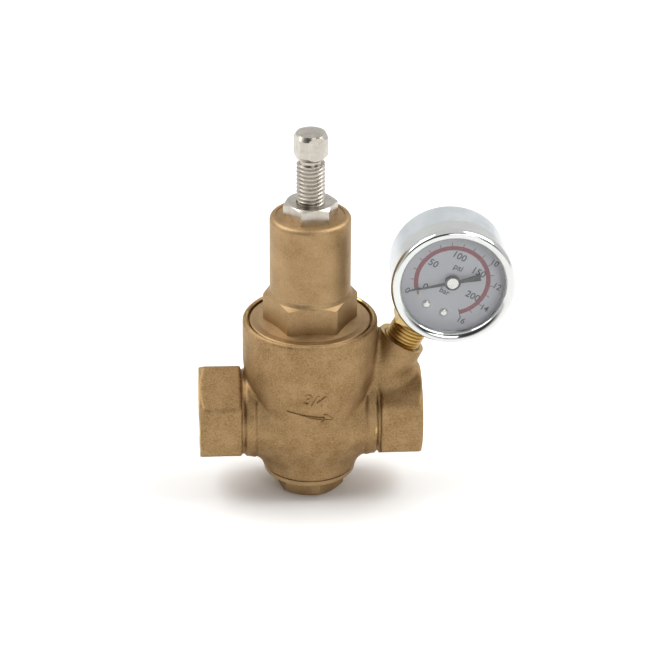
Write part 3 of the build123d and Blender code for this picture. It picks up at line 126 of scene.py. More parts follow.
def metal(
    name,
    tones,
    rough,
    blotch,
    grain,
    depth,
    axis=None,
    pitch=0.3,
    ring_depth=0.0,
    buffed=None,
    speckle_gain=0.5,
):
    """A metal finish. blotch, grain, depth, pitch and ring_depth are millimetres.

    axis is (centre, direction) of the lathe's turning. buffed is (y in millimetres,
    roughness): ahead of that plane the piece is polished. speckle_gain is how much
    the grain moves the tone.
    """
    material, tree = new_material(name)
    place = put(tree, "ShaderNodeTexCoord").outputs["Object"]
    patches = put(
        tree,
        "ShaderNodeTexNoise",
        {"noise_dimensions": "3D"},
        {"Vector": place, "Scale": 1 / (blotch * MM), "Detail": 3.0, "Roughness": 0.6},
    ).outputs["Fac"]
    grit = put(
        tree,
        "ShaderNodeTexNoise",
        None,
        {"Vector": place, "Scale": 1 / (grain * MM), "Detail": 2.0, "Roughness": 0.7},
    ).outputs["Fac"]
    spread = put(
        tree,
        "ShaderNodeMapRange",
        None,
        {"Value": patches, "From Min": 0.2, "From Max": 0.8},
    ).outputs["Result"]
    speckle = put(
        tree,
        "ShaderNodeMath",
        {"operation": "MULTIPLY_ADD"},
        {0: grit, 1: speckle_gain, 2: -speckle_gain / 2},
    ).outputs["Value"]
    share = put(
        tree,
        "ShaderNodeMath",
        {"operation": "ADD", "use_clamp": True},
        {0: spread, 1: speckle},
    ).outputs["Value"]
    colour = put(
        tree,
        "ShaderNodeMix",
        {"data_type": "RGBA"},
        {0: share, 6: tone(tones[0]), 7: tone(tones[1])},
    ).outputs[2]
    roughness = put(
        tree,
        "ShaderNodeMapRange",
        None,
        {"Value": share, "To Min": rough[0], "To Max": rough[1]},
    ).outputs["Result"]
    if buffed is not None:
        plane, mirror = buffed
        ahead = put(tree, "ShaderNodeSeparateXYZ", None, {0: place}).outputs["Y"]
        polish = put(
            tree,
            "ShaderNodeMapRange",
            {"interpolation_type": "SMOOTHSTEP"},
            {
                "Value": ahead,
                "From Min": (plane + BUFF_FADE) * MM,
                "From Max": (plane - BUFF_FADE) * MM,
            },
        ).outputs["Result"]
        roughness = put(
            tree,
            "ShaderNodeMix",
            None,
            {0: polish, 2: roughness, 3: mirror},
        ).outputs[0]
    normal = put(
        tree,
        "ShaderNodeBump",
        None,
        {"Height": grit, "Strength": 1.0, "Distance": depth * MM},
    ).outputs["Normal"]
    if axis is not None:
        centre, direction = axis
        offset = put(
            tree,
            "ShaderNodeVectorMath",
            {"operation": "SUBTRACT"},
            {0: place, 1: tuple(c * MM for c in centre)},
        ).outputs["Vector"]
        along = put(
            tree,
            "ShaderNodeVectorMath",
            {"operation": "DOT_PRODUCT"},
            {0: offset, 1: direction},
        ).outputs["Value"]
        across = put(
            tree,
            "ShaderNodeVectorMath",
            {"operation": "MULTIPLY"},
            {0: offset, 1: tuple(1 - abs(d) for d in direction)},
        ).outputs["Vector"]
        radius = put(
            tree,
            "ShaderNodeVectorMath",
            {"operation": "LENGTH"},
            {0: across},
        ).outputs["Value"]
        ring_place = put(
            tree,
            "ShaderNodeCombineXYZ",
            None,
            {"X": radius, "Y": along},
        ).outputs["Vector"]
        rings = put(
            tree,
            "ShaderNodeTexNoise",
            {"noise_dimensions": "2D"},
            {"Vector": ring_place, "Scale": 1 / (pitch * MM), "Detail": 1.0},
        ).outputs["Fac"]
        normal = put(
            tree,
            "ShaderNodeBump",
            None,
            {"Height": rings, "Strength": 1.0, "Distance": ring_depth * MM, "Normal": normal},
        ).outputs["Normal"]
    surface = put(
        tree,
        "ShaderNodeBsdfPrincipled",
        None,
        {"Base Color": colour, "Metallic": 1.0, "Roughness": roughness, "Normal": normal},
    )
    put(tree, "ShaderNodeOutputMaterial", None, {"Surface": surface.outputs["BSDF"]})
    return material


valve_axis = ((0, 0, 0), (0, 0, 1))
dial_axis = (tuple(gauge), (0, 1, 0))

sand_cast_brass = metal(
    "sand_cast_brass", ("#866A45", "#B1946C"), (0.50, 0.64), 6.0, 0.55, 0.07,
    speckle_gain=2.4,
)
blasted_turned_brass = metal(
    "blasted_turned_brass", ("#937752", "#B29670"), (0.46, 0.56), 8.0, 0.5, 0.035,
    valve_axis, 0.5, 0.006, speckle_gain=1.8,
)
bright_cut_brass = metal(
    "bright_cut_brass", ("#B5985F", "#C8AD74"), (0.26, 0.36), 5.0, 0.5, 0.004,
)
turned_stainless = metal(
    "turned_stainless", ("#A69F95", "#CBC6BD"), (0.24, 0.36), 3.0, 0.5, 0.004,
    valve_axis, 0.25, 0.006,
)
oiled_spring_steel = metal(
    "oiled_spring_steel", ("#6E6E70", "#86868A"), (0.30, 0.40), 6.0, 0.5, 0.004
)
zinc_plated_screw = metal(
    "zinc_plated_screw", ("#CFCDC8", "#DEDBD4"), (0.18, 0.28), 4.0, 0.4, 0.002
)
satin_zinc_case = metal(
    "satin_zinc_case", ("#C9CFD3", "#DDE1E3"), (0.28, 0.42), 6.0, 0.5, 0.005,
    dial_axis, 0.45, 0.010,
)
polished_chrome = metal(
    "polished_chrome", ("#CBCDCB", "#D6D8D6"), (0.26, 0.32), 10.0, 0.5, 0.003,
    buffed=(-15.2, 0.09),
)
print("metals", len(bpy.data.materials))

# %% [markdown]
# ## Paint, print, rubber and fibre
#
# The dial is thin sheet with matt grey enamel, and the scale on it is printed in
# a flat ink. The pointer is black enamel. These are the same recipe too: a
# plain surface, a faint mottling in its tone, and a roughness of its own.


# %% Recipe for plain surfaces
def coating(name, tones, roughness, grain, depth):
    """A surface that isn't metal, mottled between two tones. grain and depth are mm."""
    material, tree = new_material(name)
    place = put(tree, "ShaderNodeTexCoord").outputs["Object"]
    mottle = put(
        tree,
        "ShaderNodeTexNoise",
        None,
        {"Vector": place, "Scale": 1 / (grain * MM), "Detail": 3.0},
    ).outputs["Fac"]
    colour = put(
        tree,
        "ShaderNodeMix",
        {"data_type": "RGBA"},
        {0: mottle, 6: tone(tones[0]), 7: tone(tones[1])},
    ).outputs[2]
    normal = put(
        tree,
        "ShaderNodeBump",
        None,
        {"Height": mottle, "Distance": depth * MM},
    ).outputs["Normal"]
    surface = put(
        tree,
        "ShaderNodeBsdfPrincipled",
        None,
        {"Base Color": colour, "Roughness": roughness, "Normal": normal},
    )
    put(tree, "ShaderNodeOutputMaterial", None, {"Surface": surface.outputs["BSDF"]})
    return material


dial_enamel = coating("dial_enamel", ("#B7B5BA", "#BFBEC1"), 0.42, 0.8, 0.002)
scale_ink = coating("scale_ink", ("#1A191E", "#26242A"), 0.5, 0.6, 0.001)
red_ink = coating("red_ink", ("#80303A", "#8C3A44"), 0.5, 0.6, 0.001)
pointer_enamel = coating("pointer_enamel", ("#17161A", "#232126"), 0.35, 0.6, 0.001)
nitrile_rubber = coating("nitrile_rubber", ("#101010", "#1C1C1C"), 0.6, 0.5, 0.004)
pressed_fibre = coating("pressed_fibre", ("#8A3A30", "#A24C3E"), 0.8, 0.5, 0.01)

# %% [markdown]
# ## The gauge's glass
#
# A flat pane of window glass. Light has to reach the dial through it, which a
# plain glass shader makes slow and dark, so the rays that look for lamps pass
# straight through it. What the eye sees is still glass, with its reflections.

# %% Glass
pane_glass, glass_tree = new_material("pane_glass")
pane = put(
    glass_tree,
    "ShaderNodeBsdfPrincipled",
    None,
    {"Base Color": tone("#F4F6F7"), "Roughness": 0.02, "Transmission Weight": 1.0},
)
passing = put(glass_tree, "ShaderNodeBsdfTransparent", None, {"Color": tone("#F4F6F7")})
lamp_ray = put(glass_tree, "ShaderNodeLightPath").outputs["Is Shadow Ray"]
glass_mix = put(
    glass_tree,
    "ShaderNodeMixShader",
    None,
    {0: lamp_ray, 1: pane.outputs["BSDF"], 2: passing.outputs["BSDF"]},
)
put(glass_tree, "ShaderNodeOutputMaterial", None, {"Surface": glass_mix.outputs["Shader"]})

# %% [markdown]
# ## Skins for the CAD pieces
#
# Most CAD pieces already have the right shape: turned, milled and stamped parts
# are what CAD draws best. Each takes the finish that its record slot names.

# %% Assign the finishes
finishes = {
    "cast_brass": sand_cast_brass,
    "turned_brass": blasted_turned_brass,
    "bar_brass": bright_cut_brass,
    "stainless": turned_stainless,
    "spring_steel": oiled_spring_steel,
    "zinc_screws": zinc_plated_screw,
    "plated_case": satin_zinc_case,
    "chrome_bezel": polished_chrome,
    "lens_glass": pane_glass,
    "dial_paint": dial_enamel,
    "pointer_black": pointer_enamel,
    "rubber": nitrile_rubber,
    "fibre": pressed_fibre,
}
for part in frame["record"]["subparts"]:
    for holder in cad[part["node"]].material_slots:
        holder.material = finishes[part["material_slot"]]
print("finished", len(cad), "CAD pieces")

# %% [markdown]
# ## Shapes round an axis
#
# Cutters for bores and threads are all turned shapes. This helper joins rings of
# points round Z into a closed skin. A ring may have one radius, or one for each
# step of the turn, and then a thread is only a wave that climbs as it turns.


# %% Turned shapes
TURN_STEPS = 128
turn = np.linspace(0, 2 * np.pi, TURN_STEPS, endpoint=False)


def turned(stations):
    """Points and faces of a closed skin round Z, through (radius, height) stations."""
    points, rows, faces = [], [], []
    for radius, height in stations:
        start = len(points)
        if np.ndim(radius) == 0 and radius == 0:
            points.append((0, 0, height))
            rows.append([start] * TURN_STEPS)
        else:
            x, y = radius * np.cos(turn), radius * np.sin(turn)
            points.extend(zip(x, y, np.full(TURN_STEPS, height)))
            rows.append(range(start, start + TURN_STEPS))
    for upper, lower in zip(rows, rows[1:]):
        for step in range(TURN_STEPS):
            after = (step + 1) % TURN_STEPS
            face = list(dict.fromkeys([upper[step], upper[after], lower[after], lower[step]]))
            if len(face) > 2:
                faces.append(face)
    return points, faces


def thread_rings(minor, depth, pitch, start, end):
    """Stations of a female pipe thread, whose rounded grooves climb as they turn."""
    rings = []
    for height in np.arange(start, end, -pitch / 10 if end < start else pitch / 10):
        phase = (height / pitch - turn / (2 * np.pi)) % 1.0
        wave = np.clip(1.6 * (1 - np.abs(2 * phase - 1)) - 0.3, 0, 1)
        rings.append((minor + depth * wave, height))
    return rings


def mesh_from(name, points, faces, place=Matrix.Identity(4)):
    """A mesh in metres from points in millimetres, with its faces turned outwards."""
    mesh = bpy.data.meshes.new(name)
    mesh.from_pydata([place @ Vector(p) * MM for p in points], [], faces)
    shell = bmesh.new()
    shell.from_mesh(mesh)
    bmesh.ops.recalc_face_normals(shell, faces=shell.faces)
    shell.to_mesh(mesh)
    shell.free()
    return mesh


def add_piece(name, mesh, material, body):
    """Put a finished mesh in the scene, riding on a body."""
    piece = bpy.data.objects.new(name, mesh)
    bpy.context.collection.objects.link(piece)
    if material is not None:
        mesh.materials.clear()
        mesh.materials.append(material)
    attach(piece, body)
    return piece


# %% [markdown]
# ## The casting as a blended solid
#
# A foundry pattern has no sharp inside corners: the bowl, the port arms and the
# gauge boss melt into each other through fillets. A distance field draws that
# well. Each shape says how far a point is from its skin, and a soft minimum of
# two distances joins them with a fillet. The fillet is tight on top of the
# arms, where the bowl's edge shows as a crease, and wide below.

# %% Distance field of the casting
bowl_radius, neck_radius = 24.1, 16.55
cone_foot_z, cone_head_z = axis_z - 16.0, axis_z + 20.0
cone_slope = (bowl_radius - neck_radius) / (cone_head_z - cone_foot_z)
hexagon_start, hexagon_flat, hexagon_face = 25.0, 16.25, 16.2
arm_radius, collar_radius, groove_radius = 15.5, 16.2, 15.3
collar_start, collar_end = 19.8, 23.6
machining_stock = 0.6
bowl_fillet, rim_fillet, foot_fillet = 0.6, 1.6, 0.8
hexagon_fillet, bevel_fillet, arm_fillet, boss_fillet = 1.1, 0.5, 0.5, 3.0
hexagon_back_fillet, collar_ramp, bevel_length = 0.8, 1.0, 1.7
crease_top, crease_more_below = 1.4, 7.0
crease_change, crease_band = 2.0, 12.0
ripple_height, ripple_waves = 0.05, (0.31, 0.27, 0.35)
boss_foot = np.array((17.5, 0.0, axis_z))
boss_length, boss_mouth_radius, boss_draft = 32.5, 8.6, math.tan(math.radians(2))
lean = np.array(gauge) - boss_foot
lean /= np.linalg.norm(lean)


def soft_min(a, b, blend):
    """The smaller of two distances, with a fillet of about this blend."""
    overlap = np.maximum(blend - np.abs(a - b), 0) / blend
    return np.minimum(a, b) - overlap**2 * blend / 4


def soft_max(a, b, blend):
    """The larger of two distances, with a rounded edge."""
    return -soft_min(-a, -b, blend)


def step_at(value, edge, width):
    """A smooth step from 0 to 1 at an edge."""
    share = np.clip((value - edge) / width + 0.5, 0, 1)
    return share * share * (3 - 2 * share)


def casting(x, y, z):
    """Distance in millimetres from the casting's skin, negative inside."""
    swell = soft_min((z - cone_foot_z) * cone_slope, bowl_radius - neck_radius, bowl_fillet)
    swell = soft_max(swell, 0, bowl_fillet)
    bowl = (np.hypot(x, y) - neck_radius - swell) * math.cos(math.atan(cone_slope))
    bowl = soft_max(bowl, z - rim_z, rim_fillet)
    bowl = soft_max(bowl, foot_z - z, foot_fillet)
    out, height = np.abs(x), z - axis_z
    across = np.hypot(y, height)
    past_collar = step_at(out, collar_end, collar_ramp)
    collar = step_at(out, collar_start, collar_ramp) - past_collar
    arm_skin = arm_radius + (collar_radius - arm_radius) * collar
    arm_skin = arm_skin - (arm_radius - groove_radius) * past_collar
    arm = np.maximum(across - arm_skin, out - hexagon_start - 1)
    hexagon = np.abs(y)
    for side in (-1, 1):
        flat = np.abs(y / 2 + side * height * math.sqrt(3) / 2)
        hexagon = soft_max(hexagon, flat, hexagon_fillet)
    hexagon = hexagon - hexagon_flat
    corner = hexagon_flat * 2 / math.sqrt(3)
    bevel = (out - half_length) * (corner - hexagon_face) + (across - hexagon_face) * bevel_length
    bevel = bevel / math.hypot(corner - hexagon_face, bevel_length)
    hexagon = soft_max(hexagon, bevel, bevel_fillet)
    hexagon = soft_max(hexagon, hexagon_start - out, hexagon_back_fillet)
    hexagon = np.maximum(hexagon, out - half_length - machining_stock)
    arms = soft_min(arm, hexagon, arm_fillet)
    crease = crease_top + crease_more_below * (1 - step_at(height, crease_change, crease_band))
    skin = soft_min(bowl, arms, crease)
    along = (x - boss_foot[0]) * lean[0] + (z - boss_foot[2]) * lean[2]
    off = np.hypot((x - boss_foot[0]) * lean[2] - (z - boss_foot[2]) * lean[0], y)
    boss = off - boss_mouth_radius - (boss_length - along) * boss_draft
    boss = np.maximum(boss, along - boss_length - machining_stock)
    boss = np.maximum(boss, -along)
    skin = soft_min(skin, boss, boss_fillet)
    wave_x, wave_y, wave_z = ripple_waves
    ripple = np.sin(wave_x * x + 1) * np.sin(wave_y * y + 2) * np.sin(wave_z * z)
    return skin + ripple_height * ripple


# %% [markdown]
# The field is sampled on a fine grid and turned into faces at distance zero.
# The grid leaves small steps, so each point then slides along the field's slope
# onto the true skin, which brings the crisp edges back.

# %% Skin of the casting
GRID = 0.62
ROOM = 2
NUDGE = 0.02
low = casting_low - ROOM
counts = np.ceil((casting_high + ROOM - low) / GRID).astype(int)
axes = [low[i] + GRID * np.arange(counts[i]) for i in range(3)]
grid = openvdb.FloatGrid(background=3.0)
grid.copyFromArray(casting(*np.meshgrid(*axes, indexing="ij")).astype(np.float32))
skin_points, skin_faces = grid.convertToQuads()[:2]
skin_points = skin_points * GRID + low
for _ in range(4):
    here = casting(*skin_points.T)
    slope = np.stack(
        [
            (casting(*(skin_points + step).T) - casting(*(skin_points - step).T)) / (2 * NUDGE)
            for step in np.eye(3) * NUDGE
        ],
        axis=1,
    )
    skin_points -= slope * (here / np.maximum((slope**2).sum(axis=1), 0.2))[:, None]
casting_mesh = mesh_from("casting", skin_points.tolist(), skin_faces.tolist())
print("casting skin", len(casting_mesh.polygons), "faces")

# %% [markdown]
# ## Machining the casting
#
# The machine shop then bores the casting, faces its ends and cuts the threads.
# Here each tool is a turned solid, taken away by a Boolean. A pipe thread of
# three quarters of an inch has a pitch of 1.814 mm and grooves 1.16 mm deep. What
# lies off the cast skin afterwards was cut, so it gets the bright brass.

# %% Tools
OVER = 3
pipe_minor, pipe_depth, pipe_pitch = 12.06, 1.16, 1.814
mouth_radius, mouth_depth, face_radius = 13.6, 1.2, 22.0
thread_start, thread_end, bore_end = 1.5, 13.5, 14.5
rim_bevel_radius, recess_radius, recess_depth = 22.9, 22.4, 3.5
bonnet_radius, bonnet_depth = 20.5, 10.5
piston_radius, piston_shoulder = 18.0, 14.0
chamber_radius, plug_radius, seat_radius = 13.0, 13.2, 9.5
seat_top, seat_bottom = 2.5, -3.5
gauge_face, gauge_mouth, gauge_bore, gauge_depth = 12.0, 7.4, 6.6, 12.0
gauge_bevel, gauge_drill, gauge_drill_end = 0.8, 1.6, 4.5
drill_radius, drill_start, drill_rise = 5.5, 26.0, 1.5
drill_run, drill_climb = 18.0, 9.5
port_tool = [
    (0, half_length + OVER),
    (face_radius, half_length + OVER),
    (face_radius, half_length),
    (mouth_radius, half_length),
    (pipe_minor + pipe_depth * 0.6, half_length - mouth_depth),
    *thread_rings(
        pipe_minor, pipe_depth, pipe_pitch, half_length - thread_start, half_length - thread_end
    ),
    (pipe_minor, half_length - thread_end - 0.3),
    (pipe_minor, half_length - bore_end),
    (0, half_length - bore_end),
]
spindle_tool = [
    (0, rim_z + OVER),
    (rim_bevel_radius, rim_z + OVER),
    (rim_bevel_radius, rim_z),
    (recess_radius, rim_z - (rim_bevel_radius - recess_radius)),
    (recess_radius, rim_z - recess_depth),
    (bonnet_radius, rim_z - recess_depth),
    (bonnet_radius, rim_z - bonnet_depth),
    (piston_radius, rim_z - bonnet_depth),
    (piston_radius, axis_z + piston_shoulder),
    (chamber_radius, axis_z + piston_shoulder),
    (chamber_radius, axis_z + seat_top),
    (seat_radius, axis_z + seat_top),
    (seat_radius, axis_z + seat_bottom),
    (plug_radius, axis_z + seat_bottom),
    (plug_radius, foot_z - ROOM),
    (0, foot_z - ROOM),
]
boss_tool = [
    (0, boss_length + OVER),
    (gauge_face, boss_length + OVER),
    (gauge_face, boss_length),
    (gauge_mouth, boss_length),
    (gauge_bore, boss_length - gauge_bevel),
    (gauge_bore, boss_length - gauge_depth),
    (gauge_drill, boss_length - gauge_depth),
    (gauge_drill, gauge_drill_end),
    (0, gauge_drill_end),
]


def along_axis(origin, direction):
    """The place of a shape turned round Z, when that Z points in a direction."""
    turned_to = Vector(direction).to_track_quat("Z", "Y").to_matrix().to_4x4()
    return Matrix.Translation(Vector(origin)) @ turned_to


tools = [(spindle_tool, Matrix.Identity(4)), (boss_tool, along_axis(boss_foot, lean))]
for side in (-1, 1):
    tools.append((port_tool, along_axis((0, 0, axis_z), (side, 0, 0))))
    start = Vector((side * drill_start, 0, axis_z + side * drill_rise))
    way = Vector((-side * drill_run, 0, side * drill_climb))
    drill = [(0, 0), (drill_radius, 0), (drill_radius, way.length), (0, way.length)]
    tools.append((drill, along_axis(start, way)))

# %% Cut
CUT_DEPTH = 0.12
SHARP_ANGLE = 38
body_piece = bpy.data.objects.new("body_casting", casting_mesh)
bpy.context.collection.objects.link(body_piece)
tool_pieces = []
for number, (stations, place) in enumerate(tools):
    tool_name = f"tool_{number}"
    tool = bpy.data.objects.new(tool_name, mesh_from(tool_name, *turned(stations), place))
    bpy.context.collection.objects.link(tool)
    tool_pieces.append(tool)
    cut = body_piece.modifiers.new(tool_name, "BOOLEAN")
    cut.operation = "DIFFERENCE"
    cut.solver = "MANIFOLD"
    cut.object = tool
shaped = body_piece.evaluated_get(bpy.context.evaluated_depsgraph_get())
body_mesh = bpy.data.meshes.new_from_object(shaped)
body_piece.modifiers.clear()
bpy.data.objects.remove(body_piece)
for tool in tool_pieces:
    bpy.data.objects.remove(tool)

body_mesh.materials.clear()
body_mesh.materials.append(sand_cast_brass)
body_mesh.materials.append(bright_cut_brass)
centres = np.empty(3 * len(body_mesh.polygons))
body_mesh.polygons.foreach_get("center", centres)
off_skin = casting(*(centres.reshape(-1, 3) / MM).T) < -CUT_DEPTH
body_mesh.polygons.foreach_set("material_index", off_skin.astype(np.int32))
body_mesh.polygons.foreach_set("use_smooth", np.ones(len(body_mesh.polygons), dtype=bool))
body_mesh.set_sharp_from_angle(angle=math.radians(SHARP_ANGLE))
body_piece = add_piece("body_casting", body_mesh, None, "root")
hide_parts("valve_body")
print("body", len(body_mesh.polygons), "faces,", int(off_skin.sum()), "machined")

# %% [markdown]
# ## Raised marks on the casting
#
# The pattern maker cut the size, three quarters, and a flow arrow into the
# mould, so both stand proud of the bowl. They are drawn flat and then wrapped
# round the bowl's cone, under half a millimetre proud and a little sunk in.


# %% Words as meshes
def lettering(name, words, thickness, weight=0.02):
    """One flat mesh, in millimetres, of words given as (text, x, y, height)."""
    joined = bmesh.new()
    for text, x, y, height in words:
        curve = bpy.data.curves.new(name, "FONT")
        curve.body = text
        curve.size = height / 0.7
        curve.align_x = "CENTER"
        curve.align_y = "CENTER"
        curve.extrude = thickness / 2
        curve.resolution_u = 3
        curve.offset = height * weight
        writer = bpy.data.objects.new(name, curve)
        bpy.context.collection.objects.link(writer)
        shaped = writer.evaluated_get(bpy.context.evaluated_depsgraph_get())
        written = bpy.data.meshes.new_from_object(shaped)
        written.transform(Matrix.Translation((x, y, thickness / 2)))
        joined.from_mesh(written)
        bpy.data.objects.remove(writer)
        bpy.data.meshes.remove(written)
    bmesh.ops.remove_doubles(joined, verts=joined.verts, dist=thickness / 100)
    mesh = bpy.data.meshes.new(name)
    joined.to_mesh(mesh)
    joined.free()
    return mesh


def plate(outline, thickness):
    """Points and faces of a flat plate with this outline."""
    count = len(outline)
    points = [(x, y, 0) for x, y in outline] + [(x, y, thickness) for x, y in outline]
    faces = [list(range(count)), list(range(count, 2 * count))]
    for i in range(count):
        j = (i + 1) % count
        faces.append([i, j, count + j, count + i])
    return points, faces


# %% Wrap the marks round the bowl
MARK_RISE, MARK_SINK = 0.4, 0.3
MARK_THICKNESS = MARK_RISE + MARK_SINK
SIZE_MARK_Z, ARROW_Z = 45.8, 38.4
mark_slope = math.radians(-11)


def wrap(point, centre_z):
    """A flat point, x across and y up, laid on the bowl's cone, within the bowl's width."""
    x = point[0] * math.cos(mark_slope) - point[1] * math.sin(mark_slope)
    z = centre_z + point[0] * math.sin(mark_slope) + point[1] * math.cos(mark_slope)
    cone = neck_radius + (z - cone_foot_z) * cone_slope
    radius = min(cone - MARK_SINK + point[2], -casting_low[1])
    angle = x / (neck_radius + (centre_z - cone_foot_z) * cone_slope)
    return Vector((radius * math.sin(angle), -radius * math.cos(angle), z))


size_mark = lettering("size_mark", [("3/4", 0.6, 0, 4.6)], MARK_THICKNESS)
for vertex in size_mark.vertices:
    vertex.co = wrap(vertex.co, SIZE_MARK_Z) * MM
add_piece("size_mark", size_mark, sand_cast_brass, "root")

shaft = [(x, 0.45) for x in np.linspace(-9.6, 4.2, 11)]
barb = [(3.4, 1.9), (4.6, 1.9), (7.6, 0), (4.6, -1.9), (3.4, -1.9)]
arrow_outline = shaft + barb + [(x, -y) for x, y in reversed(shaft)]
arrow_points, arrow_faces = plate(arrow_outline, MARK_THICKNESS)
arrow_points = [wrap(p, ARROW_Z) for p in arrow_points]
arrow = mesh_from("flow_arrow", arrow_points, arrow_faces)
add_piece("flow_arrow", arrow, sand_cast_brass, "root")

# %% [markdown]
# ## The dial's scale
#
# The scale turns with the dial, which leans with the stem. Ticks repeat at equal
# steps, so Geometry Nodes make them: a small bar is moved out to the ring's
# radius and placed once for each point of a line, turned by its index. The
# tree ends in Realize Instances and Set Material, and its result is kept as a
# plain mesh.

# %% Place of the dial
DIAL_FRONT = 12.0
ZERO_ANGLE, SCALE_SWEEP, FULL_SCALE = 221.5, 270.0, 16
dial_turn = Matrix(
    (
        (lean[2], lean[0], 0, gauge.x),
        (0, 0, -1, gauge.y - DIAL_FRONT),
        (-lean[0], lean[2], 0, gauge.z),
        (0, 0, 0, 1),
    )
)


def scale_angle(bar):
    """The angle of a reading, counted from the dial's own x."""
    return math.radians(ZERO_ANGLE - SCALE_SWEEP * bar / FULL_SCALE)


def scale_point(bar, radius):
    """A point of the dial at a reading."""
    return (radius * math.cos(scale_angle(bar)), radius * math.sin(scale_angle(bar)))


# %% Geometry Nodes for ticks
tick_tree = bpy.data.node_groups.new("tick_ring", "GeometryNodeTree")
tick_sizes = {"Radius": 13.9, "Length": 1.7, "Width": 0.28, "Thickness": 0.05}
tick_socket = {}
count_socket = tick_tree.interface.new_socket("Count", in_out="INPUT", socket_type="NodeSocketInt")
tick_socket["Count"] = count_socket.identifier
for size_name in (*tick_sizes, "First", "Step"):
    made = tick_tree.interface.new_socket(size_name, in_out="INPUT", socket_type="NodeSocketFloat")
    tick_socket[size_name] = made.identifier
tick_tree.interface.new_socket("Geometry", in_out="OUTPUT", socket_type="NodeSocketGeometry")
given = put(tick_tree, "NodeGroupInput").outputs
bar_size = put(
    tick_tree,
    "ShaderNodeCombineXYZ",
    None,
    {"X": given["Length"], "Y": given["Width"], "Z": given["Thickness"]},
)
bar_mesh = put(tick_tree, "GeometryNodeMeshCube", None, {"Size": bar_size.outputs["Vector"]})
bar_place = put(tick_tree, "ShaderNodeCombineXYZ", None, {"X": given["Radius"]})
moved_bar = put(
    tick_tree,
    "GeometryNodeTransform",
    None,
    {"Geometry": bar_mesh.outputs["Mesh"], "Translation": bar_place.outputs["Vector"]},
)
stations = put(
    tick_tree,
    "GeometryNodeMeshLine",
    None,
    {"Count": given["Count"], "Offset": (0, 0, 0)},
)
station_index = put(tick_tree, "GeometryNodeInputIndex").outputs["Index"]
tick_angle = put(
    tick_tree,
    "ShaderNodeMath",
    {"operation": "MULTIPLY_ADD"},
    {0: station_index, 1: given["Step"], 2: given["First"]},
)
tick_turn = put(tick_tree, "ShaderNodeCombineXYZ", None, {"Z": tick_angle.outputs["Value"]})
placed = put(
    tick_tree,
    "GeometryNodeInstanceOnPoints",
    None,
    {
        "Points": stations.outputs["Mesh"],
        "Instance": moved_bar.outputs["Geometry"],
        "Rotation": tick_turn.outputs["Vector"],
    },
)
real = put(tick_tree, "GeometryNodeRealizeInstances", None, {0: placed.outputs["Instances"]})
inked = put(
    tick_tree,
    "GeometryNodeSetMaterial",
    None,
    {"Geometry": real.outputs["Geometry"], "Material": red_ink},
)
put(tick_tree, "NodeGroupOutput", None, {0: inked.outputs["Geometry"]})


def tick_ring(name, count, step, sizes, material):
    """Ticks at equal steps of the scale, as a plain mesh riding on the case."""
    holder = bpy.data.objects.new(name, bpy.data.meshes.new(name))
    bpy.context.collection.objects.link(holder)
    modifier = holder.modifiers.new("ticks", "NODES")
    modifier.node_group = tick_tree
    modifier[tick_socket["Count"]] = count
    for size_name, size in sizes.items():
        modifier[tick_socket[size_name]] = size
    modifier[tick_socket["First"]] = scale_angle(0)
    modifier[tick_socket["Step"]] = scale_angle(step) - scale_angle(0)
    shaped = holder.evaluated_get(bpy.context.evaluated_depsgraph_get())
    mesh = bpy.data.meshes.new_from_object(shaped)
    bpy.data.objects.remove(holder)
    mesh.transform(Matrix.Scale(MM, 4) @ dial_turn @ Matrix.Translation((0, 0, 0.03)))
    return add_piece(name, mesh, material, "root")


tick_ring("bar_ticks", FULL_SCALE + 1, 1, tick_sizes, red_ink)
end_sizes = {"Radius": 12.9, "Length": 3.0, "Width": 0.25, "Thickness": 0.07}
tick_ring("end_ticks", 2, FULL_SCALE, end_sizes, scale_ink)

# %% [markdown]
# The band under the ticks is one arc, and the numerals are the dial's own
# readings: bar outside it and pounds per square inch inside.

# %% Band and numerals
BAND = (11.95, 13.55)
BAND_THICKNESS = 0.035
BAND_STEPS = 97
band_steps = np.linspace(0, FULL_SCALE, BAND_STEPS)
band_points, band_faces = [], []
for bar in band_steps:
    for radius in BAND:
        for lift in (0.0, BAND_THICKNESS):
            band_points.append((*scale_point(bar, radius), lift))
for k in range(len(band_steps) - 1):
    a, b = 4 * k, 4 * k + 4
    for i, j in ((0, 1), (1, 3), (3, 2), (2, 0)):
        band_faces.append([a + i, a + j, b + j, b + i])
end = len(band_points) - 4
band_faces += [[0, 1, 3, 2], [end, end + 1, end + 3, end + 2]]
band = mesh_from("scale_band", band_points, band_faces, dial_turn)
add_piece("scale_band", band, red_ink, "root")

BAR_PER_PSI = 0.0689476
INK_THICKNESS = 0.04
rings = (
    (16.1, 2.2, 1.0, (0, 10, 12, 14, 16)),
    (9.7, 2.5, BAR_PER_PSI, (0, 50, 100, 150, 200)),
)
numerals = [
    (str(reading), *scale_point(reading * unit, radius), height)
    for radius, height, unit, readings in rings
    for reading in readings
]
numerals += [("psi", -0.6, 5.4, 2.2), ("bar", -0.3, -4.9, 2.0)]
print_mesh = lettering("scale_numerals", numerals, INK_THICKNESS)
print_mesh.transform(Matrix.Scale(MM, 4) @ dial_turn)
add_piece("scale_numerals", print_mesh, scale_ink, "root")
print("scale", len(numerals), "words")

# %% [markdown]
# ## Studio
#
# A pale table, a bright room and three large soft lamps. The side of the room that
# the valve faces is dim above the table, as a studio is behind the camera, and
# that is what gives bright metal its dark reflections. A camera with a long lens
# looks down on the valve from a little to the left.

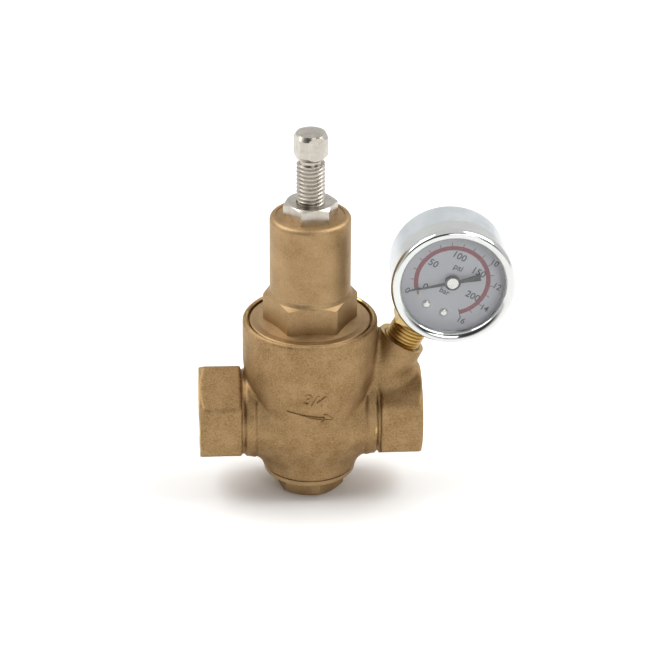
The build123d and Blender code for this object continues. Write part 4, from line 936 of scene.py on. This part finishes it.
# %% Floor
FLOOR_REACH = 3000
corners = ((-1, -1), (1, -1), (1, 1), (-1, 1))
floor_points = [(x * FLOOR_REACH, y * FLOOR_REACH, 0) for x, y in corners]
floor_mesh = mesh_from("floor", floor_points, [[0, 1, 2, 3]])
floor_mesh.materials.append(coating("pale_table", ("#F6F6F5", "#FAFAF9"), 0.7, 20.0, 0.0))
floor = bpy.data.objects.new("floor", floor_mesh)
bpy.context.collection.objects.link(floor)

# %% Room and lamps
room = bpy.data.worlds.new("room")
room.use_nodes = True
room.node_tree.nodes.clear()
sky = put(room.node_tree, "ShaderNodeTexCoord").outputs["Generated"]
heading = put(room.node_tree, "ShaderNodeSeparateXYZ", None, {0: sky}).outputs
to_front = put(
    room.node_tree,
    "ShaderNodeMapRange",
    {"interpolation_type": "SMOOTHSTEP"},
    {"Value": heading["Y"], "From Min": -0.24, "From Max": -0.50},
).outputs["Result"]
to_above = put(
    room.node_tree,
    "ShaderNodeMapRange",
    {"interpolation_type": "SMOOTHSTEP"},
    {"Value": heading["Z"], "From Min": 0.02, "From Max": 0.30},
).outputs["Result"]
shade = put(
    room.node_tree,
    "ShaderNodeMath",
    {"operation": "MULTIPLY"},
    {0: to_front, 1: to_above},
).outputs["Value"]
wall_tone = put(
    room.node_tree,
    "ShaderNodeMix",
    {"data_type": "RGBA"},
    {0: shade, 6: tone("#EFEFEF"), 7: tone("#444444")},
).outputs[2]
room_light = put(
    room.node_tree,
    "ShaderNodeBackground",
    None,
    {"Color": wall_tone, "Strength": 0.95},
)
put(room.node_tree, "ShaderNodeOutputWorld", None, {"Surface": room_light.outputs["Background"]})
bpy.context.scene.world = room
bpy.context.scene.view_settings.view_transform = "Standard"

LOOK_AT = Vector((0.022, 0, 0.0695))


def softbox(name, place, size, power):
    """A square lamp that faces the valve. place and size are metres, power watts."""
    lamp = bpy.data.lights.new(name, "AREA")
    lamp.size = size
    lamp.energy = power
    holder = bpy.data.objects.new(name, lamp)
    holder.location = place
    holder.rotation_euler = (Vector(place) - LOOK_AT).to_track_quat("Z", "Y").to_euler()
    bpy.context.collection.objects.link(holder)


softbox("key_lamp", (-0.75, 0.15, 0.95), 0.8, 8.5)
softbox("fill_lamp", (0.75, 0.10, 0.95), 0.8, 9.0)
softbox("front_lamp", (0.35, -1.0, 0.70), 0.6, 3.5)

# %% Camera
bearing, height_angle, roll = (math.radians(a) for a in (-3.772, 27.490, 0.446))
back = Vector(
    (
        math.sin(bearing) * math.cos(height_angle),
        -math.cos(bearing) * math.cos(height_angle),
        math.sin(height_angle),
    )
)
level = Vector((math.cos(bearing), math.sin(bearing), 0))
upward = back.cross(level)
right = level * math.cos(roll) + upward * math.sin(roll)
up = upward * math.cos(roll) - level * math.sin(roll)
lens = bpy.data.cameras.new("camera")
lens.lens = 165.4
lens.clip_end = 20
camera = bpy.data.objects.new("camera", lens)
camera_place = LOOK_AT + back * 1.06634 - right * 0.016606 - up * 0.005083
facing = Matrix((right, up, back)).transposed().to_4x4()
camera.matrix_world = Matrix.Translation(camera_place) @ facing
bpy.context.collection.objects.link(camera)
bpy.context.scene.camera = camera
